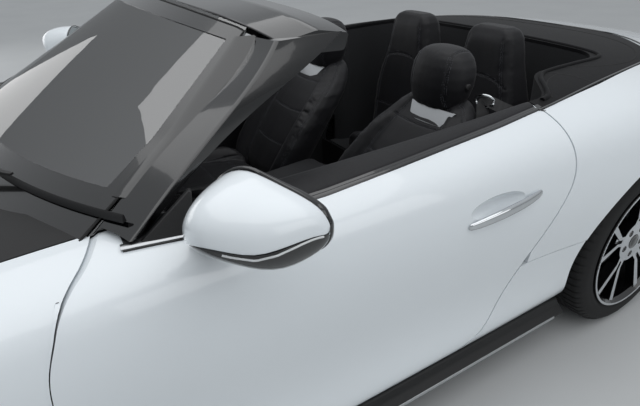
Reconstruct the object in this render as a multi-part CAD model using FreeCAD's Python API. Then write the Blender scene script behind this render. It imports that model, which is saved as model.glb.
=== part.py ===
"""A two-plus-two roadster with its soft top stowed, as an assembly of separate pieces.

Frame: X to the car's left, Y to the rear, Z up, origin on the floor at mid length. Millimetres.
"""
import FreeCAD, Part
import math
import os
from FreeCAD import Vector as V

# Driving dimensions of the whole car
LENGTH = 4700
FRONT_AXLE_Y = -1438
WHEELBASE = 2700
REAR_AXLE_Y = FRONT_AXLE_Y + WHEELBASE
BODY_BOTTOM_Z = 222
SKIRT_BOTTOM_Z = 142
NOSE_Y = -LENGTH / 2
TAIL_Y = LENGTH / 2

# Walls, gaps and clearances
SKIN = 14
LID_SKIN = 22
SEAT_GAP = 0.3
SEAM = 2.5
SHUT_GAP = 6
LID_GAP = 9

# Wheels and what carries them
TYRE_R = 357
AXLE_Z = TYRE_R
FRONT_TYRE_WIDTH = 265
REAR_TYRE_WIDTH = 295
FRONT_WHEEL_X = 816
REAR_WHEEL_X = 803
FRONT_ARCH_R = 392
REAR_ARCH_R = 397
FRONT_WELL_R = 425
REAR_WELL_R = 402
FRONT_WELL_X = 470
ARCH_LIP_X = 880
REAR_WELL_X = 630
RIM_LIP_R = 271
RIM_BARREL_R = 248
RIM_WALL = 9
DISC_R = 190
DISC_THICK = 30
SPINDLE_R = 20
RUNNING_GAP = 0.3
UPRIGHT_OFFSET = 74
UPRIGHT_THICK = 26
BALL_PIN_R = 11
UPPER_JOINT_Z = 512
LOWER_JOINT_Z = 196

# Cabin
CABIN_HALF = 742
REAR_CABIN_HALF = 590
FLOOR_BOTTOM_Z = 158
FLOOR_TOP_Z = 186
FIREWALL_Y = -800
FIREWALL_THICK = 22
TUB_END_Y = 860
CABIN_END_Y = 1345
REAR_FLOOR_Z = 370
DOOR_FLANGE = 22

# Hinges
DOOR_AXIS_X = 876
DOOR_AXIS_Y = -674
DOOR_SWING_GAP = 5.5
DOOR_SWING_REACH = 52
DOOR_EDGE_STATIONS = (265, 274, 286, 302, 325, 360, 400, 450, 505, 560, 600, 640, 680, 720, 745, 770, 795, 820,
                      840, 855, 868, 878, 888, 898)
DOOR_PIN_R = 6
DOOR_EYE_R = 13
DOOR_LUG_R = 10
DOOR_HINGE_Z = (490, 740)
HINGE_R = 100
BONNET_AXIS_Y = -925
BONNET_AXIS_Z = 905
BOOT_AXIS_Y = 1812
BOOT_AXIS_Z = 945
LID_PIN_R = 6
BONNET_ARM_X = 560
BOOT_ARM_X = 430
ARM_WIDTH = 14

# Below the bumpers, and the screwed towing eye's socket
DIFFUSER_HALF = 640
DIFFUSER_TOP_Z = 330
TOW_X = 200
TOW_Z = 322
TOW_R = 9
TOW_LENGTH = 60
CRASH_BEAM_Y = -2262

# Door posts, the door's body and the jacking pads
POST_X = 820
POST_Y = -690
POST_TOP_Z = 800
LUG_THICK = 12
DOOR_EYE_HEIGHT = 26
DOOR_BODY_Y = -644
DOOR_BODY_END_Y = 690
DOOR_BODY_TOP_Z = 838
DOOR_FLANGE_TOP_Z = 700
JACK_PAD_X = 690
JACK_PAD_Y = (-740, 760)
JACK_PAD_R = 38
JACK_PAD_DEPTH = 10

# Engine bay and exhaust
BAY_FLOOR_Z = 262
EXHAUST_X = (455, 552)
EXHAUST_Z = 284
EXHAUST_R = 40
GRILLE_BARS = 6

# Windscreen
GLASS_THICK = 6
GLASS_SEAM = 3
HEADER_DEPTH = 42

# Seats, console and steering wheel
SEAT_X = 395
SEAT_HALF = 250
REAR_SEAT_X = 245
CONSOLE_HALF = 106
WHEEL_CENTRE = V(-380, -40, 885)
COLUMN_TILT = 24
STEERING_R = 182
STEERING_GRIP_R = 15
COLUMN_R = 22

# Rims and hubs
SPOKES = 5
PAD_FACE = 38
LUG_CIRCLE_R = 56
LUG_POCKET_R = 13
HUB_REACH = 40
SPINDLE_END = 18


def box(x0, x1, y0, y1, z0, z1):
    return Part.makeBox(x1 - x0, y1 - y0, z1 - z0, V(x0, y0, z0))


def cylinder_x(x0, x1, y, z, radius):
    return Part.makeCylinder(radius, x1 - x0, V(x0, y, z), V(1, 0, 0))


def mirrored(shape):
    return shape.mirror(V(0, 0, 0), V(1, 0, 0))


def pair(shape):
    return Part.makeCompound([shape, mirrored(shape)])


def rounded_wire(corners, place):
    """A closed wire of lines and arcs through (a, b, radius) corners; place turns (a, b) into a point."""
    edges = []
    count = len(corners)
    ends = []
    for i in range(count):
        a0, b0, _ = corners[i - 1]
        a1, b1, r = corners[i]
        a2, b2, _ = corners[(i + 1) % count]
        u = FreeCAD.Vector(a0 - a1, b0 - b1, 0)
        w = FreeCAD.Vector(a2 - a1, b2 - b1, 0)
        u.normalize()
        w.normalize()
        p = V(a1, b1, 0)
        if r <= 0:
            ends.append((p, None, p))
            continue
        half = u.getAngle(w) / 2
        run = r / math.tan(half)
        bisector = (u + w).normalize()
        middle = p + bisector * (r / math.sin(half) - r)
        ends.append((p + u * run, middle, p + w * run))
    for i in range(count):
        start, middle, end = ends[i]
        following = ends[(i + 1) % count][0]
        if middle is not None:
            points = [place(q.x, q.y) for q in (start, middle, end)]
            edges.append(Part.Arc(*points).toShape())
        if (end - following).Length > 1e-6:
            edges.append(Part.LineSegment(place(end.x, end.y), place(following.x, following.y)).toShape())
    return Part.Wire(edges)


def side_prism(corners, x0, x1):
    """Corners are (y, z, radius)."""
    wire = rounded_wire(corners, lambda a, b: V(x0, a, b))
    return Part.Face(wire).extrude(V(x1 - x0, 0, 0))


def plan_prism(corners, z0, z1):
    """Corners are (x, y, radius)."""
    wire = rounded_wire(corners, lambda a, b: V(a, b, z0))
    return Part.Face(wire).extrude(V(0, 0, z1 - z0))


def front_prism(corners, y0, y1):
    """Corners are (x, z, radius)."""
    wire = rounded_wire(corners, lambda a, b: V(a, y0, b))
    return Part.Face(wire).extrude(V(0, y1 - y0, 0))


def grown(corners, amount, place, direction):
    """A prism over an outline that is moved outwards by an amount."""
    wire = rounded_wire(corners, place)
    if amount:
        wire = wire.makeOffset2D(amount, 2)
    return Part.Face(wire).extrude(direction)


def spline_knots(poles):
    spans = poles - 3
    return [4] + [1] * (spans - 1) + [4], list(range(spans + 1))


def spline_face(rows):
    """A cubic surface over a net of control points."""
    surface = Part.BSplineSurface()
    u_mults, u_knots = spline_knots(len(rows))
    v_mults, v_knots = spline_knots(len(rows[0]))
    surface.buildFromPolesMultsKnots(rows, u_mults, v_mults, u_knots, v_knots, False, False, 3, 3)
    return surface


# Control sections of the outer body, nose to tail. Columns: y, then half widths and heights of the
# bottom edge, rocker, waist, flank, hip, shoulder and belt, then the height of the crown.
SECTION_COLUMNS = ("y", "bottom", "rocker", "waist", "waist_z", "flank", "flank_z", "hip", "hip_z",
                   "shoulder", "shoulder_z", "belt", "belt_z", "crown_z")
SECTIONS = (
    (-2350, 430, 455, 480, 330, 490, 430, 490, 520, 465, 600, 375, 652, 668),
    (-2318, 640, 700, 725, 330, 738, 430, 735, 530, 690, 618, 560, 672, 692),
    (-2180, 770, 830, 848, 330, 862, 440, 862, 560, 815, 668, 670, 724, 748),
    (-1950, 840, 893, 905, 340, 925, 465, 930, 615, 890, 735, 752, 795, 812),
    (-1650, 855, 908, 925, 355, 962, 500, 972, 650, 938, 790, 795, 850, 866),
    (-1300, 858, 910, 925, 355, 958, 510, 970, 672, 940, 820, 812, 888, 908),
    (-950, 862, 915, 912, 350, 932, 515, 955, 690, 930, 846, 838, 925, 948),
    (-600, 868, 922, 900, 345, 904, 500, 938, 690, 930, 856, 856, 942, 966),
    (-100, 872, 926, 898, 340, 894, 485, 932, 680, 932, 852, 856, 944, 968),
    (400, 872, 926, 900, 340, 902, 480, 942, 680, 936, 860, 836, 958, 984),
    (850, 870, 922, 918, 350, 936, 500, 972, 695, 948, 880, 806, 986, 1010),
    (1262, 862, 915, 938, 370, 966, 525, 988, 700, 950, 885, 776, 998, 1024),
    (1650, 845, 895, 912, 370, 942, 525, 958, 690, 908, 870, 740, 984, 1014),
    (2000, 800, 850, 862, 370, 886, 525, 890, 680, 838, 848, 690, 952, 984),
    (2230, 700, 745, 758, 370, 775, 520, 775, 675, 730, 828, 610, 922, 950),
    (2335, 590, 620, 635, 370, 645, 520, 645, 670, 600, 812, 500, 898, 922),
    (2350, 400, 420, 440, 370, 450, 520, 448, 668, 420, 795, 350, 872, 892),
)
ROCKER_RISE = 45
CROWN_SHARES = (0.56, 0.24)


def body_poles(inset):
    """The net of control points of the left half of the body, moved inwards by inset."""
    rows = []
    for section in SECTIONS:
        s = dict(zip(SECTION_COLUMNS, section))
        pairs = [
            (s["bottom"], BODY_BOTTOM_Z),
            (s["rocker"], BODY_BOTTOM_Z + ROCKER_RISE),
            (s["waist"], s["waist_z"]),
            (s["flank"], s["flank_z"]),
            (s["hip"], s["hip_z"]),
            (s["shoulder"], s["shoulder_z"]),
            (s["belt"], s["belt_z"]),
            (s["belt"] * CROWN_SHARES[0], s["crown_z"] - 3),
            (s["belt"] * CROWN_SHARES[1], s["crown_z"]),
            (0, s["crown_z"]),
        ]
        rows.append([V(x, s["y"], z) for x, z in pairs])
    if inset:
        rows = inset_rows(rows, inset)
    first = [V(0, p.y, p.z) for p in rows[0]]
    last = [V(0, p.y, p.z) for p in rows[-1]]
    return [first] + rows + [last]


def inset_rows(rows, inset):
    moved = []
    for i, row in enumerate(rows):
        new = []
        for j, p in enumerate(row):
            along = rows[min(i + 1, len(rows) - 1)][j] - rows[max(i - 1, 0)][j]
            across = row[min(j + 1, len(row) - 1)] - row[max(j - 1, 0)]
            n = across.cross(along)
            if j >= len(row) - 2:
                n = V(0, 0, 1)
            if j == 0:
                n = V(n.x, n.y, 0)
            n.normalize()
            if n.x < -0.01:
                n = n * -1
            q = p - n * inset
            if j == 0:
                q.z = BODY_BOTTOM_Z + inset
            if j == len(row) - 1:
                q.x = 0
            if i == 0:
                q.y = NOSE_Y + inset
            if i == len(rows) - 1:
                q.y = TAIL_Y - inset
            new.append(q)
        new[-1].z = new[-2].z
        moved.append(new)
    return moved


def body_form(inset=0.0):
    """The whole lower body as one closed solid, inset by a distance on every side."""
    surface = spline_face(body_poles(inset))
    left = surface.toShape()
    right = mirrored(left)
    bottom_left = min(left.Edges, key=lambda e: e.BoundBox.ZMax)
    bottom_right = mirrored(bottom_left)
    floor = Part.Face(Part.Wire([bottom_left, bottom_right]))
    shell = Part.makeShell([left, right, floor])
    shell.sewShape()
    solid = Part.makeSolid(shell)
    if solid.Volume < 0:
        solid.reverse()
    return solid


# Outlines of the panels. Side outlines are (y, z, radius), plan outlines (x, y, radius) and front
# outlines (x, z, radius).
DOOR_OUTLINE = (
    (-310, 1060, 0), (-676, 893, 110), (-724, 790, 200), (-744, 560, 300), (-740, 264, 45),
    (435, 272, 190), (733, 810, 260), (716, 1060, 0),
)
SILL_OUTLINE = (
    (-1200, 150, 0), (-1200, 252, 0), (-600, 256, 0), (200, 420, 0), (600, 513, 0), (720, 511, 0),
    (1100, 487, 0), (1100, 150, 0),
)
BONNET_OUTLINE = (
    (-500, -2205, 130), (500, -2205, 130), (575, -2000, 240), (655, -1500, 500), (705, -880, 0),
    (-705, -880, 0), (-655, -1500, 500), (-575, -2000, 240),
)
BUMPER_OUTLINE = (
    (-1600, 100, 0), (-1600, 590, 0), (-1800, 612, 200), (-2010, 650, 200), (-2160, 680, 0),
    (-2215, 790, 0), (-2450, 790, 0), (-2450, 100, 0),
)
REAR_BUMPER_OUTLINE = (
    (1480, 100, 0), (1480, 600, 0), (1720, 645, 200), (2020, 690, 200), (2450, 700, 0), (2450, 100, 0),
)
COWL_OUTLINE = (
    (-700, -1100, 0), (700, -1100, 0), (738, -800, 60), (738, -500, 8), (702, -556, 40), (520, -800, 400),
    (-520, -800, 400), (-702, -556, 40), (-738, -500, 8), (-738, -800, 60),
)
HEADLAMP_OUTLINE = (
    (452, 606, 14), (700, 628, 60), (872, 712, 9), (850, 742, 12), (640, 704, 160), (500, 672, 40),
)
TAIL_LAMP_OUTLINE = (
    (330, 752, 10), (700, 756, 120), (905, 776, 16), (905, 822, 18), (700, 806, 120), (330, 784, 10),
)
GRILLE_OUTLINE = (
    (-410, 388, 60), (410, 388, 60), (450, 520, 60), (380, 598, 60), (-380, 598, 60), (-450, 520, 60),
)
LOWER_INTAKE_OUTLINE = ((-380, 282, 30), (380, 282, 30), (360, 358, 30), (-360, 358, 30))
TOP_OUTLINE = (
    (-796, 700, 0), (-760, 1060, 900), (-700, 1440, 300), (-610, 1640, 250), (-330, 1856, 300),
    (330, 1856, 300), (610, 1640, 250), (700, 1440, 300), (760, 1060, 900), (796, 700, 0),
)
CABIN_OUTLINE = (
    (-CABIN_HALF, FIREWALL_Y, 0), (CABIN_HALF, FIREWALL_Y, 0), (CABIN_HALF, 800, 80),
    (REAR_CABIN_HALF, 930, 120), (REAR_CABIN_HALF, CABIN_END_Y, 110),
    (-REAR_CABIN_HALF, CABIN_END_Y, 110), (-REAR_CABIN_HALF, 930, 120), (-CABIN_HALF, 800, 80),
)
BOOT_OUTLINE = (
    (-530, 1850, 0), (530, 1850, 0), (560, 2200, 200), (520, 2450, 0), (-520, 2450, 0), (-560, 2200, 200),
)
BOOT_LID_BOTTOM_Z = 838


def side_region(corners, amount=0.0, x0=600, x1=1100):
    return grown(corners, amount, lambda a, b: V(x0, a, b), V(x1 - x0, 0, 0))


def side_regions(corners, amount=0.0, x0=600, x1=1100):
    return pair(side_region(corners, amount, x0, x1))


def plan_region(corners, amount=0.0, z0=600, z1=1200):
    return grown(corners, amount, lambda a, b: V(a, b, z0), V(0, 0, z1 - z0))


def front_region(corners, amount=0.0, y0=-2450, y1=-1960):
    return grown(corners, amount, lambda a, b: V(a, y0, b), V(0, y1 - y0, 0))


def bumper_region(amount=0.0):
    return side_region(BUMPER_OUTLINE, amount, -1100, 1100)


def rear_bumper_region(amount=0.0):
    return side_region(REAR_BUMPER_OUTLINE, amount, -1100, 1100)


def bonnet_region(amount=0.0):
    """The bonnet's plan, ending behind in a face turned about its hinge axis."""
    block = plan_region(BONNET_OUTLINE, amount)
    return block.cut(cylinder_x(-900, 900, BONNET_AXIS_Y, BONNET_AXIS_Z, HINGE_R - amount))


def boot_region(amount=0.0):
    block = plan_region(BOOT_OUTLINE, amount, BOOT_LID_BOTTOM_Z - amount)
    return block.cut(cylinder_x(-900, 900, BOOT_AXIS_Y, BOOT_AXIS_Z, HINGE_R - amount))


def lamp_regions(outline, amount, y0, y1):
    return pair(front_region(outline, amount, y0, y1))


def arch_cutter():
    front = cylinder_x(500, 1100, FRONT_AXLE_Y, AXLE_Z, FRONT_ARCH_R)
    front = front.fuse(cylinder_x(500, ARCH_LIP_X, FRONT_AXLE_Y, AXLE_Z, FRONT_WELL_R))
    rear = cylinder_x(500, 1100, REAR_AXLE_Y, AXLE_Z, REAR_ARCH_R)
    return pair(front).fuse(pair(rear))


def well_cutter():
    front = cylinder_x(FRONT_WELL_X, 1100, FRONT_AXLE_Y, AXLE_Z, FRONT_WELL_R)
    rear = cylinder_x(REAR_WELL_X, 1100, REAR_AXLE_Y, AXLE_Z, REAR_WELL_R)
    return pair(front).fuse(pair(rear))


def door_edge_profile(gap):
    """A solid turned about the hinge axis, as wide at each height as the door's leading edge reaches."""
    region = side_region(DOOR_OUTLINE)
    points = [(0, DOOR_EDGE_STATIONS[0])]
    for z in DOOR_EDGE_STATIONS:
        along = Part.makeLine(V(700, -1500, z), V(700, 0, z))
        y = region.common(along).BoundBox.YMin
        across = Part.makeLine(V(500, y, z), V(1200, y, z))
        x = FORM.common(across).BoundBox.XMax
        beside = max(x - DOOR_AXIS_X, 0)
        ahead = max(DOOR_AXIS_Y - y, 0)
        points.append((math.hypot(beside, ahead) + gap, z))
    points.append((0, DOOR_EDGE_STATIONS[-1]))
    wire = Part.makePolygon([V(r, 0, z) for r, z in points + points[:1]])
    turned = Part.Face(wire).revolve(V(0, 0, 0), V(0, 0, 1), 360)
    turned.translate(V(DOOR_AXIS_X, DOOR_AXIS_Y, 0))
    return turned


def door_cutter():
    """What the left door and its swing need clear in the side of the body."""
    swing = door_edge_profile(DOOR_SWING_GAP)
    swing = swing.common(box(DOOR_AXIS_X - DOOR_SWING_REACH, 1100, DOOR_AXIS_Y - 200, DOOR_AXIS_Y, 200, 1000))
    return side_region(DOOR_OUTLINE, SHUT_GAP, CABIN_HALF - 60).fuse(swing)


def lid_bed(region):
    """What a lid needs clear above the structure under it."""
    return region.cut(INNER_BED)


def make_body_panels():
    """The outer skins: each is the part of the shell inside its own seams."""
    arches = arch_cutter()
    bumper = bumper_region()
    bumper_seam = bumper_region(SEAM)
    rear_bumper = rear_bumper_region()
    rear_bumper_seam = rear_bumper_region(SEAM)
    headlamp_seam = lamp_regions(HEADLAMP_OUTLINE, SEAM, -2450, -1900)
    tail_lamp_seam = lamp_regions(TAIL_LAMP_OUTLINE, SEAM, 1960, 2450)
    sills = side_regions(SILL_OUTLINE)
    sill_seam = side_regions(SILL_OUTLINE, SEAM)
    doors = pair(door_cutter())
    cowl = plan_region(COWL_OUTLINE)
    cowl_seam = plan_region(COWL_OUTLINE, SEAM)
    bonnet_gap = bonnet_region(LID_GAP)
    boot_gap = boot_region(LID_GAP)
    cabin = plan_region(CABIN_OUTLINE, 0, 300, 1200)
    top = plan_region(TOP_OUTLINE)
    top_seam = plan_region(TOP_OUTLINE, SEAM)
    belly = box(-720, 720, -2240, 2240, 150, BODY_BOTTOM_Z + SKIN + 20)
    shell = FORM.cut(INNER_SKIN).cut(belly).cut(arches)
    front = shell.common(box(-1100, 1100, -2500, -450, 100, 1200))
    rear = shell.common(box(-1100, 1100, 600, 2500, 100, 1200))
    fenders = front.cut(bumper_seam).cut(headlamp_seam).cut(bonnet_gap).cut(cowl_seam)
    fenders = fenders.cut(doors).cut(sill_seam).cut(pair(box(600, 1100, DOOR_AXIS_Y, 0, 200, 400)))
    fenders = fenders.cut(box(-CABIN_HALF, CABIN_HALF, FIREWALL_Y, 0, 300, 1200))
    front_bumper = front.common(bumper).cut(headlamp_seam).cut(bonnet_gap)
    front_bumper = front_bumper.cut(front_region(GRILLE_OUTLINE, 0, -2450, -2150))
    front_bumper = front_bumper.cut(front_region(LOWER_INTAKE_OUTLINE, 0, -2450, -2150))
    cowl_panel = front.common(cowl).cut(bonnet_gap)
    headlamps = front.common(lamp_regions(HEADLAMP_OUTLINE, 0, -2450, -1900)).cut(bonnet_gap)
    quarters = rear.cut(rear_bumper_seam).cut(tail_lamp_seam).cut(boot_gap).cut(top_seam)
    quarters = quarters.cut(doors).cut(sill_seam).cut(cabin)
    rear_cover = rear.common(rear_bumper).cut(tail_lamp_seam)
    rear_cover = rear_cover.cut(box(-DIFFUSER_HALF, DIFFUSER_HALF, 2050, 2500, 0, DIFFUSER_TOP_Z))
    tail_lamps = rear.common(lamp_regions(TAIL_LAMP_OUTLINE, 0, 1960, 2450)).cut(boot_gap)
    stowed_top = rear.common(top).cut(cabin).cut(boot_gap).cut(doors)
    return {
        "fenders": fenders,
        "front_bumper": front_bumper,
        "cowl": cowl_panel,
        "headlamps": headlamps,
        "quarter_panels": quarters,
        "rear_bumper": rear_cover,
        "tail_lamps": tail_lamps,
        "stowed_top": stowed_top,
    }


def gooseneck(arm_x, axis_y, axis_z, direction, depth, reach, top_z):
    """A lid's two hinge arms: from the pin down, along under the fixed panel and up to the lid."""
    def arm(x):
        half = 6
        y1 = axis_y + direction * reach
        lower = axis_z - depth
        near = axis_y - direction * half
        profile = [
            (near, axis_z + half, 0),
            (near, lower - half, 10),
            (y1 + direction * half, lower - half, 10),
            (y1 + direction * half, top_z, 0),
            (y1 - direction * half, top_z, 0),
            (y1 - direction * half, lower + half, 6),
            (near + direction * 2 * half, lower + half, 6),
            (near + direction * 2 * half, axis_z + half, 0),
        ]
        plate = side_prism(profile, x, x + ARM_WIDTH)
        eye = cylinder_x(x, x + ARM_WIDTH, axis_y, axis_z, LID_PIN_R + 6)
        return plate.fuse(eye).cut(cylinder_x(x - 1, x + ARM_WIDTH + 1, axis_y, axis_z, LID_PIN_R + RUNNING_GAP))
    return pair(arm(arm_x))


def make_bonnet():
    panel = FORM.common(bonnet_region()).cut(INNER_LID)
    arms = gooseneck(BONNET_ARM_X, BONNET_AXIS_Y, BONNET_AXIS_Z, -1, 85, HINGE_R + 26, 960).common(INNER_LID_OUT)
    return panel.fuse(arms)


def make_boot_lid():
    panel = FORM.common(boot_region()).cut(INNER_LID)
    arms = gooseneck(BOOT_ARM_X, BOOT_AXIS_Y, BOOT_AXIS_Z, 1, 110, HINGE_R + 26, 1010).common(INNER_LID_OUT)
    return panel.fuse(arms)


def hinge_pins(arm_x, axis_y, axis_z):
    """Stub pins from the walls beside the hinge arms."""
    return pair(cylinder_x(arm_x - 3, arm_x + ARM_WIDTH + 16, axis_y, axis_z, LID_PIN_R))


def hinge_well(arm_x, axis_y, axis_z, front, back, depth):
    return pair(box(arm_x - 22, arm_x + ARM_WIDTH + 10, axis_y - front, axis_y + back, axis_z - depth, 1200))


def make_tub():
    """The floor, firewall and posts that the cabin is built on, with the door hinges' lugs and pins."""
    front = FIREWALL_Y - FIREWALL_THICK
    block = INNER_SEAT.common(box(-1100, 1100, front, TUB_END_Y, 200, 1200))
    floor = box(-CABIN_HALF, CABIN_HALF, front, TUB_END_Y, FLOOR_BOTTOM_Z, 300)
    tub = block.fuse(floor)
    tub = tub.cut(plan_region(CABIN_OUTLINE, 0, FLOOR_TOP_Z, 1300))
    tub = tub.cut(pair(door_cutter()))
    tub = tub.cut(side_regions(SILL_OUTLINE, SEAT_GAP, CABIN_HALF + 2))
    tub = tub.cut(well_cutter())
    tub = tub.cut(plan_region(COWL_OUTLINE).cut(INNER_SEAT))
    post = box(CABIN_HALF, POST_X, front, POST_Y, 302, POST_TOP_Z)
    tub = tub.fuse(pair(post))
    for z in DOOR_HINGE_Z:
        tub = tub.fuse(pair(door_lug(z)))
    pads = [pad for y in JACK_PAD_Y for pad in (jack_pad(y), mirrored(jack_pad(y)))]
    return tub.fuse(pads)


def jack_pad(y):
    return Part.makeCylinder(JACK_PAD_R, JACK_PAD_DEPTH + 2, V(JACK_PAD_X, y, FLOOR_BOTTOM_Z - JACK_PAD_DEPTH))


def door_lug(z):
    """A lug under the door's eye, with the pin that stands up through it."""
    back = DOOR_AXIS_Y + DOOR_LUG_R
    plate = plan_prism([(POST_X - 30, POST_Y - 20, 0), (POST_X + 6, POST_Y - 20, 0), (DOOR_AXIS_X, POST_Y + 6, 0),
                        (DOOR_AXIS_X, back, 0), (POST_X - 30, back, 0)], z - LUG_THICK, z)
    tip = Part.makeCylinder(DOOR_LUG_R, LUG_THICK, V(DOOR_AXIS_X, DOOR_AXIS_Y, z - LUG_THICK))
    pin = Part.makeCylinder(DOOR_PIN_R, DOOR_EYE_HEIGHT + 3, V(DOOR_AXIS_X, DOOR_AXIS_Y, z - 1))
    return plate.fuse([tip, pin])


def door_eye(z):
    height = DOOR_EYE_HEIGHT - SEAT_GAP
    bottom = V(DOOR_AXIS_X, DOOR_AXIS_Y, z + SEAT_GAP)
    ring = Part.makeCylinder(DOOR_EYE_R, height, bottom)
    web = box(DOOR_AXIS_X - 11, DOOR_AXIS_X + 11, DOOR_AXIS_Y, DOOR_BODY_Y + 30, z + SEAT_GAP, z + DOOR_EYE_HEIGHT)
    return ring.fuse(web)


def make_door():
    """The left door: skin, flange all round, body behind it, hinge eyes, handle scoop."""
    whole = FORM.common(side_region(DOOR_OUTLINE, 0, CABIN_HALF + 3))
    around = side_region(DOOR_OUTLINE, 60, CABIN_HALF - 60)
    flange = around.cut(side_region(DOOR_OUTLINE, -DOOR_FLANGE, CABIN_HALF - 80))
    flange = flange.cut(box(0, 1100, DOOR_BODY_Y, DOOR_BODY_END_Y, DOOR_FLANGE_TOP_Z, 1200))
    ahead = box(CABIN_HALF - 80, 1100, -1000, DOOR_BODY_Y, 0, DOOR_BODY_TOP_Z)
    door = whole.cut(INNER_SKIN.common(flange)).cut(INNER_SKIN.common(ahead))
    for z in DOOR_HINGE_Z:
        door = door.fuse(door_eye(z))
    for z in DOOR_HINGE_Z:
        bore = Part.makeCylinder(DOOR_PIN_R + RUNNING_GAP, DOOR_EYE_HEIGHT + 20, V(DOOR_AXIS_X, DOOR_AXIS_Y, z - 1))
        door = door.cut(bore)
    return door.cut(spindle_shape(V(954, 398, 790), "y", 118, 36))


def make_handle():
    bar = rounded_wire([(282, 728, 13), (575, 768, 13), (571, 800, 13), (278, 760, 13)], lambda a, b: V(900, a, b))
    bar = Part.Face(bar).extrude(V(64, 0, 0))
    outer = body_form(-20)
    return bar.common(outer).cut(FORM_SEAT).cut(body_form(-8).common(box(0, 1100, 312, 540, 0, 1200)))


def spindle_shape(centre, long_axis, half_length, radius):
    """An egg turned about its long axis: an ellipse arc revolved round a line through the centre."""
    ellipse = Part.Ellipse(V(0, 0, 0), half_length, radius)
    arc = Part.Arc(ellipse, 0, math.pi).toShape()
    face = Part.Face(Part.Wire([arc, Part.makeLine(V(-half_length, 0, 0), V(half_length, 0, 0))]))
    egg = face.revolve(V(0, 0, 0), V(1, 0, 0), 360)
    if long_axis == "y":
        egg.rotate(V(0, 0, 0), V(0, 0, 1), 90)
    egg.translate(centre)
    return egg


# The mirror head stands across a line from its inboard rear corner to its outboard tip. Its sections
# are: share of that line, depth ahead of it, low and high z.
MIRROR_INBOARD = V(900, -376, 0)
MIRROR_TIP = V(1092, -240, 0)
MIRROR_SECTIONS = (
    (0.02, 52, 968, 1050),
    (0.2, 96, 942, 1094),
    (0.45, 118, 930, 1104),
    (0.7, 104, 938, 1080),
    (0.88, 66, 958, 1050),
    (1.0, 26, 984, 1022),
)


def make_mirror():
    """The left mirror: a teardrop head cut flat for its glass, on a foot that stands on the door."""
    along = MIRROR_TIP - MIRROR_INBOARD
    ahead = V(along.y, -along.x, 0).normalize()
    sections = []
    for share, depth, low, high in MIRROR_SECTIONS:
        base = MIRROR_INBOARD + along * share
        height = high - low
        corners = [
            (0, low, 3),
            (0.55 * depth, low + 0.01 * height, 0.16 * min(depth, height)),
            (depth, low + 0.4 * height, 0.3 * min(depth, height)),
            (0.62 * depth, high - 0.02 * height, 0.26 * min(depth, height)),
            (0, high, 3),
        ]
        place = lambda a, b, base=base: V(base.x + ahead.x * a, base.y + ahead.y * a, b)
        sections.append(rounded_wire(corners, place))
    head = Part.makeLoft(sections, True, False)
    foot = plan_prism([(826, -500, 12), (872, -548, 14), (974, -442, 14), (936, -384, 14)], 896, 988)
    return head.fuse(foot.cut(FORM_SEAT))


def make_sills():
    sills = FORM.common(side_regions(SILL_OUTLINE, 0, CABIN_HALF + 2)).cut(pair(door_cutter()))
    return sills.cut(arch_cutter()).cut(well_cutter())


def make_side_skirts():
    profile = [(742.3, 158, 0), (742.3, 221.7, 0), (888, 221.7, 10), (893, 190, 20), (914, 168, 6),
               (908, 150, 6), (860, 142, 20), (770, 142, 10)]
    blade = front_prism(profile, -1080, 900)
    return pair(blade).cut(arch_cutter()).cut(well_cutter())


def make_front_structure():
    """The front of the body under its skins: rails, wheel houses and the open engine bay."""
    back = FIREWALL_Y - FIREWALL_THICK - SEAT_GAP
    shape = INNER_SEAT.common(box(-1100, 1100, CRASH_BEAM_Y, back, 200, 1200))
    tray = box(-430, 430, CRASH_BEAM_Y + 150, back, FLOOR_BOTTOM_Z, 260)
    shape = shape.fuse(tray)
    bay = plan_prism([(-400, -2120, 60), (400, -2120, 60), (430, -1900, 100), (430, -850, 40),
                      (-430, -850, 40), (-430, -1900, 100)], BAY_FLOOR_Z, 1200)
    shape = shape.cut(bay).cut(well_cutter()).cut(lid_bed(bonnet_region(LID_GAP)))
    shape = shape.cut(side_regions(SILL_OUTLINE, SEAT_GAP, CABIN_HALF + 2))
    shape = shape.cut(hinge_well(BONNET_ARM_X, BONNET_AXIS_Y, BONNET_AXIS_Z, 160, 30, 115))
    shape = shape.fuse(hinge_pins(BONNET_ARM_X, BONNET_AXIS_Y, BONNET_AXIS_Z))
    return shape.cut(Part.makeCylinder(TOW_R, TOW_LENGTH, V(TOW_X, CRASH_BEAM_Y, TOW_Z), V(0, 1, 0)))


def make_rear_structure():
    """The rear of the body under its skins: rear seat well, wheel houses and boot."""
    shape = INNER_SEAT.common(box(-1100, 1100, TUB_END_Y + SEAT_GAP, 2290, 200, 1200))
    shape = shape.cut(plan_region(CABIN_OUTLINE, 0, REAR_FLOOR_Z, 1300))
    boot = plan_prism([(-470, 1500, 60), (470, 1500, 60), (470, 2240, 60), (-470, 2240, 60)], 430, 830)
    hatch = plan_prism([(-480, 1900, 60), (480, 1900, 60), (480, 2240, 60), (-480, 2240, 60)], 800, 1200)
    shape = shape.cut(boot).cut(hatch).cut(well_cutter()).cut(lid_bed(boot_region(LID_GAP)))
    shape = shape.cut(side_regions(SILL_OUTLINE, SEAT_GAP, CABIN_HALF + 2))
    shape = shape.cut(box(-DIFFUSER_HALF, DIFFUSER_HALF, 1940, 2500, 0, DIFFUSER_TOP_Z))
    shape = shape.cut(hinge_well(BOOT_ARM_X, BOOT_AXIS_Y, BOOT_AXIS_Z, 30, 160, 140))
    shape = shape.cut(pair(door_cutter()))
    return shape.fuse(hinge_pins(BOOT_ARM_X, BOOT_AXIS_Y, BOOT_AXIS_Z))


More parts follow.
